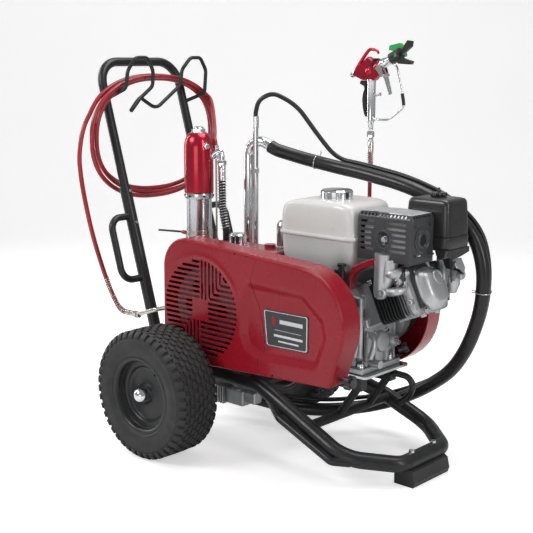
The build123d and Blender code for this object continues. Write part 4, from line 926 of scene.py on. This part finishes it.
def valve_cover():
    cover = Piece()

    def place(a, b):
        cut = scale * (1.0 - 0.10 * max(0.0, math.cos(2 * (math.atan2(b, a) - math.radians(225)))) ** 4)
        return bore_point(distance - 7, 56 * a * cut - 11 - 5 * (1 - scale), 51 * b * cut - 3)

    rings = []
    for distance, scale in ((232, 1.0), (238, 1.0), (240, 0.985), (240.6, 0.93), (247, 0.915), (251, 0.87),
                            (253, 0.80), (259, 0.735), (264, 0.66), (266.5, 0.56), (267.5, 0.36),
                            (267.8, 0.1)):
        rings.append(squared_ring(72, 3.4, place))
    cover.rings(rings)
    cover.turned([(21, 0), (19.5, 6), (18, 9.5), (16, 10.4), (13.5, 10.2), (12.4, 8), (12, 5.5), (7, 5.0), (5.5, 7.5),
                  (3, 8), (0, 8)], bore_point(251, 8, 8), BORE, 40)
    cover.make("valve_cover_casting", "cast_aluminium", 45, replaces="valve_cover")
    screws = Piece()
    for up, side in ((37, 34), (37, -40), (-56, 32), (-56, -38)):
        screws.bolt(bore_point(231, up, side), BORE, 9, 5, 6)
    screws.bolt(bore_point(254, 8, 8), BORE, 9, 4)
    screws.make("valve_cover_screws", "zinc", 35)
    head = Piece()
    for up, side, radius in ((-56, -34, 9), (-56, 22, 9), (46, -44, 8), (44, 40, 8)):
        head.turned([(radius, 0), (radius, 34), (radius - 1.5, 36), (0, 36)], bore_point(196, up, side), BORE, 24)
    for up in (-60, 52):
        low, high = bore_point(150, up, -40), bore_point(226, up, -40)
        head.tube([low, low.lerp(high, 0.5), high], 5.5, 12)
    head.rings([squared_ring(48, 6, lambda a, b: bore_point(distance, 60 * a * scale - 6, 60 * b * scale - 1))
                for distance, scale in ((180, 0.96), (182, 1.0), (188, 1.0), (189, 0.93), (193, 0.93), (194, 1.0),
                                        (199, 1.0), (200, 0.93), (204, 0.93), (205, 0.99), (214, 0.97), (219, 0.93),
                                        (221, 1.0), (228, 1.0))])
    for up, side in ((-62, -30), (-62, 26), (-30, -60), (18, -60)):
        outward = BORE_UP * (-1 if abs(up) > 60 else 0) + Vector((0, -1 if side < -50 else 0, 0))
        head.turned([(8, -4), (8, 7), (6.5, 9), (3.8, 9), (3.4, 6), (0, 6)], bore_point(211, up, side), outward, 24)
    head.make("head_casting", "cast_aluminium", 40)
    lead = Piece()
    lead.bent([bore_point(*p) for p in ((206, 20, -52), (212, 24, -66), (220, 34, -70), (222, 52, -60))], 6.5, 14, 6)
    lead.turned([(9, 0), (9.5, 6), (8, 14), (7, 15)], bore_point(206, 20, -58), (0.2, -1, 0.1), 24)
    lead.make("spark_plug_cap", "plastic_black", 40)


valve_cover()


def crankcase_details():
    ribs = Piece()
    for y, low, high in ((26, 254, 330), (62, 254, 300), (104, 254, 310), (136, 254, 340)):
        ribs.prism([(y - 3, low), (y + 3, low), (y + 3, high), (y, high + 14), (y - 3, high)], (439, 0, 0), FAR,
                   UP, 9, 1.2)
    ribs.prism([(20, 352), (140, 352), (146, 372), (120, 392), (40, 392), (14, 372)], (437, 0, 0), FAR, UP,
               16, 3)
    ribs.turned([(26, 0), (26, 12), (23, 16), (12, 17), (0, 17)], (436, 86, 306), FORWARD, 40)
    ribs.turned([(15, 0), (15, 20), (12, 24), (0, 24)], (436, 128, 300), (1, 0, 0.1), 32)
    ribs.bent([(440, 46, 330), (456, 40, 322), (462, 30, 300), (458, 24, 276)], 7, 14, 6)
    ribs.bent([(412, -18, 400), (438, -22, 372), (448, -20, 330), (440, -14, 286)], 6, 12, 6)
    ribs.make("crankcase_ribs", "cast_aluminium", 40)
    bolts = Piece()
    for y, z in ((22, 262), (138, 262), (24, 372), (138, 372), (112, 330), (62, 330)):
        bolts.bolt((440, y, z), FORWARD, 10, 6, 7.5)
    for x in (300, 436):
        for y in (15, 135):
            bolts.bolt((x, y, 253), UP, 13, 8, 11)
    bolts.bolt((461, 128, 300), (1, 0, 0.1), 14, 7, 9)
    bolts.make("crankcase_bolts", "zinc", 35)
    seam = Piece()
    seam.prism([(18, 250), (22, 250), (22, 398), (18, 398)], (440.2, 0, 0), FAR, UP, 0.6, 0.2)
    seam.make("case_gasket", "rubber_black")
    dip = Piece()
    dip.turned([(8, 0), (8, 12), (12, 13), (13, 16), (13, 24), (11, 26), (0, 26)], (452, 150, 272), (0.8, 0.5, 0.45),
               28)
    dip.make("oil_filler", "plastic_black", 40)
    valve = Piece()
    valve.turned([(9, 0), (9, 16), (7, 18), (7, 26), (11, 27), (11, 33), (0, 33)], (392, -8, 474), UP, 28)
    valve.turned([(6, 0), (7.5, 3), (7.5, 14), (5, 16), (0, 16)], (392, -14, 492), (0.2, -1, 0), 24)
    valve.bent([(392, -8, 476), (390, -10, 458), (398, -6, 440), (414, 0, 428), (430, 6, 404)], 4.2, 12, 6)
    valve.make("fuel_valve", "plastic_black", 40)


crankcase_details()


def intake():
    casting = Piece()
    casting.bent([(572, 152, 540), (574, 146, 508), (586, 132, 482), (592, 120, 462)], 13, 20, 6)
    casting.bent([(566, 100, 552), (560, 96, 526), (566, 108, 500), (584, 118, 486)], 7, 14, 6)
    casting.turned([(19, 0), (19, 20), (16, 26), (12, 38), (10, 40), (0, 40)], (592, 166, 478), (0, 0, -1), 36)
    casting.prism([(572, 470), (612, 470), (616, 500), (604, 522), (578, 518)], (0, 184, 0), FORWARD, UP, 34, 2)
    casting.turned([(11, 0), (11, 9), (9, 11), (0, 11)], (616, 160, 486), FORWARD, 28)
    casting.make("carburettor_castings", "cast_aluminium", 42)
    black = Piece()
    black.bent([(560, 130, 534), (556, 100, 530), (556, 90, 512), (566, 84, 500)], 3, 10, 6)
    black.prism([(578, 500), (600, 500), (602, 540), (576, 540)], (0, 144, 0), FORWARD, UP, 5, 1)
    black.tube([(606, 150, 500), (620, 150, 498), (634, 146, 492)], 3.2, 10)
    black.bent([(612, 146, 520), (606, 138, 500), (610, 136, 470)], 2.2, 8, 5)
    black.make("throttle_linkage", "plastic_black", 40)


intake()


# ---------------------------------------------------------------- air cleaner

AIR_CLEANER_MIDDLE, AIR_CLEANER_HALF = (561.5, 141), (61.5, 49)


def air_cleaner():
    (x, y), (half_x, half_y) = AIR_CLEANER_MIDDLE, AIR_CLEANER_HALF

    def layers(sections):
        return [squared_ring(72, 8, lambda a, b: (x + half_x * a * scale, y + half_y * b * scale, z))
                for z, scale in sections]

    cover = Piece()
    cover.rings(layers([(583, 1.0), (590, 1.0), (612, 0.99), (640, 0.965), (654, 0.95), (660, 0.935), (664, 0.905),
                        (667, 0.86), (669, 0.72), (669.8, 0.5), (670, 0.2)]))
    cover.make("air_cleaner_shell", "plastic_black", 50, replaces="air_cleaner_cover")
    base = Piece()
    base.rings(layers([(548, 0.80), (549, 0.93), (552, 0.985), (556, 1.01), (578, 1.025), (580, 1.02), (581.5, 1.0)]))
    base.prism([(592, 552), (624, 552), (620, 536), (606, 528), (596, 540)], (0, 96, 0), FORWARD, UP, 10, 1.5)
    base.prism([(96, 552), (188, 552), (188, 540), (150, 532), (112, 528), (96, 538)], (617, 0, 0), FAR, UP,
               7, 1.5)
    base.make("air_cleaner_tray", "plastic_black", 45, replaces="air_cleaner_base")
    low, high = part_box("air_cleaner_knob")
    knob_x, knob_y = ((low + high) / 2 / MM - Vector((AXLE_X, AXLE_Y, 0)) / MM).to_2d()
    outline = [((17 + 3.6 * math.cos(8 * a)) * math.cos(a), (17 + 3.6 * math.cos(8 * a)) * math.sin(a))
               for a in [2 * math.pi * i / 80 for i in range(80)]]
    star = Piece()
    star.rings([[(knob_x + a * k, knob_y + b * k, z) for a, b in outline]
                for k, z in ((0.7, 670.3), (0.95, 671), (1.0, 673), (1.0, 678), (0.93, 680), (0.5, 680.4))])
    star.turned([(4.5, 0), (4.5, 6), (3.4, 7), (3.4, 11), (2.2, 12.5), (0, 12.7)], (knob_x, knob_y, 679), UP, 24)
    star.make("air_cleaner_star_knob", "plastic_black", 45, "air_knob", replaces="air_cleaner_knob")


air_cleaner()


# ---------------------------------------------------------------- paint pump

PUMP = (-116.0, 10.0)


def pump():
    cap = Piece()
    dome = [(35, 637), (38.2, 637), (39.4, 638.2), (39.5, 640), (39.5, 752), (39.2, 762), (38, 771), (35.6, 780),
            (32, 788), (27, 794), (21, 797.5), (16, 798.5), (0, 799)]
    cap.turned(dome, (*PUMP, 0), UP, 96)
    cap.make("pump_cap_dome", "anodised_red", 50, replaces="pump_cap")
    nut = Piece()
    nut.bolt((*PUMP, 797.5), UP, 34, 9, 20)
    nut.turned([(15, 0), (14.4, 3), (12.5, 5.5), (8, 6.8), (0, 7.2)], (*PUMP, 806.5), UP, 40)
    nut.bolt((-80, 2, 762), (1, -0.25, 0), 14, 8, 9.5)
    nut.make("pump_cap_nut", "chrome", 35)
    body = Piece()
    barrel = [(30, 537), (33.6, 537), (33.8, 540), (33.8, 618), (34.5, 620), (38.2, 621), (38.6, 623), (38.6, 634),
              (38.2, 636), (34, 636.8), (30, 636.8)]
    body.turned(barrel, (*PUMP, 0), UP, 96, loop=True)
    body.make("pump_barrel", "zinc", 35, replaces="pump_cylinder")
    screws = Piece()
    for i in range(6):
        angle = math.radians(-84 + i * 60)
        direction = (math.cos(angle), math.sin(angle), 0)
        place = (PUMP[0] + 38.2 * direction[0], PUMP[1] + 38.2 * direction[1], 629)
        screws.turned([(3.4, 0), (3.4, 1.8), (2.6, 2.4), (1.6, 2.4), (1.5, 1.2), (0, 1.2)], place, direction, 18)
    screws.make("pump_clamp_screws", "frame_black", 35)
    elbow = Piece()
    elbow.bent([(-80, 24, 736), (-72, 31, 745), (-63, 38, 748), (-58, 40, 738), (-58, 40, 722)], 7.2, 20, 6)
    elbow.bolt((-84, 21, 731), (0.62, 0.5, 0.6), 16, 9)
    elbow.turned([(12.4, 0), (12.4, 10), (11, 12), (8, 12)], (-58, 40, 712), UP, 6)
    elbow.turned([(9, 0), (10.4, 1), (10.4, 10), (9.6, 11), (9.6, 13), (10.4, 14), (10.4, 24), (9.6, 25), (9.6, 27),
                  (10.4, 28), (10.4, 38), (9, 40)], (-58, 40, 672), UP, 36)
    elbow.make("hydraulic_elbow", "chrome", 38)
    line = [(-58, 40, 674), (-58, 40, 640), (-57, 40, 600), (-50, 38, 570), (-42, 37, 540), (-41, 37, 511)]
    hose = Piece()
    hose.bent(line, 9.0, 24)
    hose.make("hydraulic_line", "rubber_black", replaces="hydraulic_hose")
    guard = Piece()
    guard.coil(smooth_path(line[:5], 10), 10.6, 7.5, 1.3)
    guard.make("hydraulic_hose_spring", "zinc")


def bleed_lever():
    low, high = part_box("valve_lever")
    height = (low.z + high.z) / 2 / MM
    bar = Piece()
    bar.bent([(-240, -27, height), (-200, -14, height), (-178, -3, height - 1), (-166, 2, height - 2)],
             2.8, 12, 4)
    bar.make("bleed_lever_bar", "frame_black", 40, "valve_lever", replaces="valve_lever")
    tip = Piece()
    tip.turned([(0, -8), (4, -7), (5.2, -3), (5.4, 4), (4.4, 8), (0, 8.6)], (-168, 1, height - 2), (0.9, 0.35, -0.1),
               24)
    tip.make("bleed_lever_tip", "red_paint", 50, "valve_lever")


pump()
bleed_lever()


# ---------------------------------------------------------------- hose dressings

BIG_LOOP, SMALL_LOOP = 19.2, 7.6


def wire_tie(name, centre, along, small_offset, replaces=None):
    """A twisted wire drawn round the suction hose and the small hose beside it."""
    along = Vector(along).normalized()
    offset = Vector(small_offset)
    offset = offset - along * offset.dot(along)
    e1 = offset.normalized()
    e2 = along.cross(e1)
    centre = Vector(centre)
    loop = []
    for direction in circle(Vector((0, 0, 0)), e1, e2, 1, 60):
        beyond_big = BIG_LOOP > SMALL_LOOP + offset.dot(direction)
        loop.append(centre + (direction * BIG_LOOP if beyond_big else offset + direction * SMALL_LOOP))
    tie = Piece()
    tie.tube(loop, 1.3, 8, loop=True)
    start = centre - e2 * BIG_LOOP
    for lean in (1, -1):
        tail = [start, start - e2 * 3 + along * 1.5 * lean, start - e2 * 7 - e1 * 2 + along * 3 * lean,
                start - e2 * 9 - e1 * 5 + along * 2 * lean]
        tie.bent(tail, 1.1, 8, 4)
    tie.make(name, "zinc", replaces=replaces)


wire_tie("wire_tie_upper", (158, 173.5, 724.6), (87, 30, -20), (0, 17, 19), "hose_ties")
wire_tie("wire_tie_lower", (631, 243.8, 430), (-2, 1, -99), (0, 27, 1))


def spring_guards():
    steel = Piece()
    steel.coil([(262, 270, 690), (262, 270, 730), (262, 270, 752)], 7.2, 5.2, 1.1)
    steel.turned([(6, 0), (8.2, 0.6), (8.2, 26), (7, 28), (6, 28)], (262, 270, 750), UP, 32)
    steel.turned([(6, 0), (7.4, 0.5), (7.6, 8), (6, 8.5)], (262, 270, 686), UP, 28)
    steel.make("gun_hose_guard", "nickel", 38)
    tail = [(-345, -152, 440), (-338, -138, 392), (-329, -130, 352), (-318, -124.5, 330), (-306, -121.6, 312),
            (-288, -121, 303.5), (-272, -121, 302)]
    steel = Piece()
    steel.coil(smooth_path(tail[1:], 8), 7.0, 6.0, 1.2)
    steel.turned([(5.6, 0), (7.6, 0.6), (7.8, 16), (6.5, 17)], (-275, -121, 302), FORWARD, 30)
    steel.make("paint_hose_guard", "nickel", 38)
    steel = Piece()
    steel.turned([(6, 0), (8.4, 0.5), (8.4, 7), (6.6, 8), (6.6, 18), (7.6, 19), (7.6, 24), (6, 25)], (-84, 44, 738),
                 UP, 30)
    steel.bolt((-84, 44, 726), UP, 15, 12)
    steel.make("lead_fitting", "zinc", 35)


spring_guards()


# ---------------------------------------------------------------- spray gun

GUN = (262.0, 270.0)
TRIGGER_EAR = 12.6


def on_gun(x, z, y=0.0):
    return (GUN[0] + x, GUN[1] + y, z)


def plate(piece, outline, half_width, chamfer):
    """Flat piece from (x, z) points about the gun's axis, chamfered on both sides."""
    small = shrunk(outline, chamfer)
    piece.rings([[on_gun(x, z, y) for x, z in points]
                 for points, y in ((small, -half_width), (outline, chamfer - half_width),
                                   (outline, half_width - chamfer), (small, half_width))])


def gun():
    head = Piece()
    plate(head, [(-24, 936), (14, 936), (32, 954), (26, 986), (8, 986), (-8, 996), (-40, 968), (-54, 958),
                 (-50, 946)],
          10.5, 2.5)
    claw = ((-50, 962), (-30, 990), (-10, 1012), (6, 1013.5), (17, 1010), (21, 1003))
    claw = smooth_path([on_gun(*p) for p in claw], 6)
    head.tube(claw, [5.6 - 0.09 * i for i in range(len(claw))], 14)
    head.turned([(12.5, 0), (13.5, 3), (13.5, 12), (11, 16), (0, 17)], on_gun(-10, 956), (0.89, 0, 0.45), 36)
    head.turned([(11, 20), (12, 22), (12, 40), (10, 44), (0, 44)], on_gun(-4, 958), (0.89, 0, 0.45), 36)
    head.make("gun_head", "anodised_red", 45, replaces="gun_body")
    metal = Piece()
    metal.turned([(9.5, 831), (11, 832), (11.2, 836), (11.2, 930), (12.5, 934), (12.5, 938), (10, 939)], (*GUN, 0),
                 UP, 48)
    metal.turned([(11.8, 0), (12.6, 1), (12.6, 13), (11, 15), (9.6, 22), (8.6, 30)], on_gun(32, 976),
                 (0.89, 0, 0.45), 36)
    metal.turned([(6, 0), (8.2, 2), (8.2, 8), (5, 10), (0, 10.5)], on_gun(-56, 951), (-0.85, 0, -0.3), 24)
    metal.turned([(6, 808), (6.6, 812), (6.6, 824), (9, 828), (9, 832)], (*GUN, 0), UP, 32)
    metal.bolt((*GUN, 789), UP, 17, 16)
    metal.turned([(6.4, 776), (7, 778), (7, 790)], (*GUN, 0), UP, 28)
    rail = ((4, 838), (34, 835), (58, 838), (82, 853), (103, 872), (100, 892), (88, 940), (80, 968), (68, 978),
            (48, 978), (34, 972))
    metal.bent([on_gun(*p) for p in rail], 2.8, 12, 5)
    metal.turned([(3.4, -13), (3.4, 13), (2.6, 13.8), (0, 14)], on_gun(28, 972), FAR, 20)
    metal.turned([(3, 0), (3, 16), (4.6, 17), (4.6, 19), (0, 19.5)], on_gun(11, 896), (0.95, 0, 0.25), 18)
    metal.make("gun_handle", "chrome", 40)
    grip = Piece()
    plate(grip, [(-30, 935), (-10, 935), (-10, 846), (-13, 842), (-17, 850), (-21, 868), (-23, 886), (-21, 902),
                 (-16, 914), (-18, 922), (-32, 928)], 9, 2.0)
    grip.bent([on_gun(103, 874), on_gun(101.5, 886), on_gun(97.5, 904)], 4.4, 14, 4)
    plate(grip, [(2, 974), (14, 992), (19, 990), (8, 970)], 12.2, 0.8)
    grip.make("gun_grip", "rubber_black", 45)
    blade = Piece()
    plate(blade, [(24, 962), (34, 974), (42, 960), (52, 944), (60, 918), (64, 902), (58, 899), (50, 920), (42, 940)],
          3.4, 0.8)
    for side in (-TRIGGER_EAR, TRIGGER_EAR):
        blade.rings([[on_gun(x, z, y) for x, z in ((20, 966), (30, 978), (40, 966), (46, 948), (40, 944), (28, 958))]
                     for y in (side - 1.2, side + 1.2)])
    blade.prism([(36, 946), (48, 946), (48, 952), (36, 952)], on_gun(0, 0, 13), FORWARD, UP, 26, 0.5)
    blade.make("gun_trigger_blade", "chrome", 35, "trigger", replaces="gun_trigger")


gun()


# ---------------------------------------------------------------- paint hose and hook

HOSE_RADIUS = 6.4
COIL_TURNS = (-64.0, 360.0 * 3 + 52.0)
COIL_FIRST_X, COIL_LAST_X = -372.0, -347.0
COIL_MIDDLE, COIL_HALF = (74, 774), (238, 170)


def coil_point(t):
    """Point on the hanging coil; each turn hangs a little differently, and the ends meet the straight runs."""
    angle = math.radians(COIL_TURNS[0] + (COIL_TURNS[1] - COIL_TURNS[0]) * t)
    swell = math.sin(math.pi * clamped(t)) ** 0.5
    slack = swell * (0.5 - 0.5 * math.cos(angle * 0.72 + 0.8))
    a, b = squared(angle, 2.3)
    y = COIL_MIDDLE[0] + (COIL_HALF[0] - 26 * slack) * b + 4 * swell * math.sin(angle * 0.31)
    z = COIL_MIDDLE[1] + (COIL_HALF[1] - (9 if a > 0 else 26) * slack) * a
    return Vector((COIL_FIRST_X + (COIL_LAST_X - COIL_FIRST_X) * t, y, z))


def rounded_bends(points, cut, steps=4):
    """Polyline whose corners are rounded."""
    points = [Vector(p) for p in points]
    path = [points[0]]
    for before, here, after in zip(points, points[1:], points[2:]):
        back = here + (before - here).normalized() * min(cut, (before - here).length * 0.45)
        ahead = here + (after - here).normalized() * min(cut, (after - here).length * 0.45)
        for k in range(steps + 1):
            t = k / steps
            path.append(back.lerp(here, t).lerp(here.lerp(ahead, t), t))
    return path + [points[-1]]


def paint_hoses():
    coil = Piece()
    coil.tube([coil_point(i / 300) for i in range(301)], HOSE_RADIUS, 16)
    coil.make("paint_hose_turns", "paint_hose_red", 60, "handle", replaces="paint_hose_coil")

    def run(name, end, inner, reach, radius, points, replaces):
        """A length of hose from one end of the coil to the cart."""
        first = coil_point(end)
        heading = (first - coil_point(inner)).normalized()
        piece = Piece()
        piece.bent([first, first + heading * reach, *points], radius, 16)
        hose = piece.make(name, "paint_hose_red", 60, None, replaces)
        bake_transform(hose)

    run("paint_hose_drop", 0, 0.002, 12, HOSE_RADIUS,
        [(-371, -172, 812), (-370, -187, 768), (-367, -195, 712), (-361, -188, 625), (-352, -168, 510),
         (-338, -140, 396), (-318, -124.5, 330), (-292, -121, 303), (-270, -121, 302)],
        "paint_hose_tail")
    run("paint_hose_feed", 1, 0.998, 14, HOSE_RADIUS - 0.6,
        [(-322, 262, 868), (-289, 234, 855), (-243, 193, 833), (-197, 150, 815), (-151, 104, 799), (-112, 64, 788),
         (-90, 46, 775), (-84, 44, 756)],
        "paint_hose_lead")


paint_hoses()


def hook():
    wire = Piece()
    near = [(-378, -81, 884), (-330, -57, 911), (-330, -50, 958), (-330, -20, 994), (-330, 22, 994), (-330, 43, 958),
            (-330, 40, 915), (-330, -5, 884), (-330, 40, 858)]
    far = [(-330, 60, 858), (-330, 147, 917), (-330, 153, 960), (-330, 188, 994), (-330, 227, 994), (-330, 249, 958),
           (-330, 243, 892), (-374, 206, 868)]
    wire.tube(rounded_bends(near + far, 10), 5.3, 14)
    peg = [(-330, 0, 889), (-329, -14, 878), (-327, -28, 866), (-325, -44, 851), (-324.6, -47, 848)]
    wire.bent(peg, [4.5, 5.2, 5.8, 6.2, 6.4, 6.4, 6.4, 6.3, 6.2, 6.0, 5.6, 4.6, 2.6], 16, 3)
    wire.make("hook_wire", "frame_black", 50, "handle", replaces="hose_hook")


hook()


# ---------------------------------------------------------------- stage

BACKWARD, ACROSS = Vector((-0.6755, 0.7374, 0)), Vector((0.7374, 0.6755, 0))
FLOOR_NEAR, FLOOR_FAR, FLOOR_HALF_WIDTH = -9, 3.5, 9
CURVE_RADIUS, CURVE_STEPS, BACKDROP_HEIGHT = 1.8, 16, 6
FLOOR_GLOW = 0.48
WORLD_STRENGTH = 0.30
LIGHT_TARGET = (-0.45, -0.02, 0.45)
# name, position, width and height in metres, watts
LIGHTS = [
    ("key", (-1.6, -2.6, 2.4), (1.4, 1.0), 44),
    ("left_strip", (-3.0, -0.6, 1.3), (0.5, 2.2), 28),
    ("low_fill", (0.6, -3.0, 0.7), (1.6, 0.8), 8),
    ("right_strip", (2.6, -0.4, 1.6), (0.5, 2.0), 26),
    ("top", (-0.2, 0.5, 2.8), (2.2, 1.4), 42),
]
CAMERA_PLACE = (1.387, -2.067, 0.987)
CAMERA_BACK, CAMERA_RIGHT = (0.6634, -0.7243, 0.1878), (0.7375, 0.6754, 0.0)
FOCAL_LENGTH = 72.9


def place_in_scene(name, data):
    obj = bpy.data.objects.new(name, data)
    bpy.context.scene.collection.objects.link(obj)
    return obj


def add_floor():
    """A pale floor that curves up into a backdrop behind the machine."""
    section = [(FLOOR_NEAR, 0), (FLOOR_FAR, 0)]
    for k in range(1, CURVE_STEPS + 1):
        angle = math.pi / 2 * k / CURVE_STEPS
        section.append((FLOOR_FAR + CURVE_RADIUS * math.sin(angle), CURVE_RADIUS - CURVE_RADIUS * math.cos(angle)))
    section.append((FLOOR_FAR + CURVE_RADIUS, BACKDROP_HEIGHT))
    points = [BACKWARD * along + ACROSS * side + Vector((0, 0, height))
              for along, height in section for side in (-FLOOR_HALF_WIDTH, FLOOR_HALF_WIDTH)]
    mesh = bpy.data.meshes.new("floor")
    mesh.from_pydata(points, [], [(2 * i, 2 * i + 1, 2 * i + 3, 2 * i + 2) for i in range(len(section) - 1)])
    mesh.shade_smooth()
    n = Nodes("pale_floor")
    seen = n.new("LightPath").outputs["Is Camera Ray"]
    base = n.mix(n.ramp(n.noise(2.0), 0.3, 0.7), (0.86, 0.86, 0.86), (0.89, 0.89, 0.89))
    for key, value in {"Base Color": base, "Roughness": 0.6, "Emission Color": (1, 1, 1),
                       "Emission Strength": n.math("MULTIPLY", seen, FLOOR_GLOW)}.items():
        n.fill(n.shader.inputs[key], value)
    mesh.materials.append(n.material)
    place_in_scene("floor", mesh)


def add_lights():
    world = bpy.data.worlds.new("studio")
    bpy.context.scene.world = world
    world.use_nodes = True
    background = world.node_tree.nodes["Background"]
    background.inputs[0].default_value = (1, 1, 1, 1)
    background.inputs[1].default_value = WORLD_STRENGTH
    for name, place, size, power in LIGHTS:
        light = bpy.data.lights.new(name, "AREA")
        light.shape = "RECTANGLE"
        light.size, light.size_y = size
        light.energy = power
        lamp = place_in_scene(name, light)
        lamp.location = place
        lamp.rotation_euler = (Vector(LIGHT_TARGET) - lamp.location).to_track_quat("-Z", "Y").to_euler()


def add_camera():
    camera = bpy.data.cameras.new("camera")
    camera.lens = FOCAL_LENGTH
    camera.clip_end = 100
    holder = place_in_scene("camera", camera)
    back, right = Vector(CAMERA_BACK).normalized(), Vector(CAMERA_RIGHT).normalized()
    turn = Matrix((right, back.cross(right), back)).transposed().to_4x4()
    holder.matrix_world = Matrix.Translation(CAMERA_PLACE) @ turn
    bpy.context.scene.camera = holder


add_floor()
add_lights()
add_camera()
bpy.context.scene.view_settings.view_transform = "Standard"
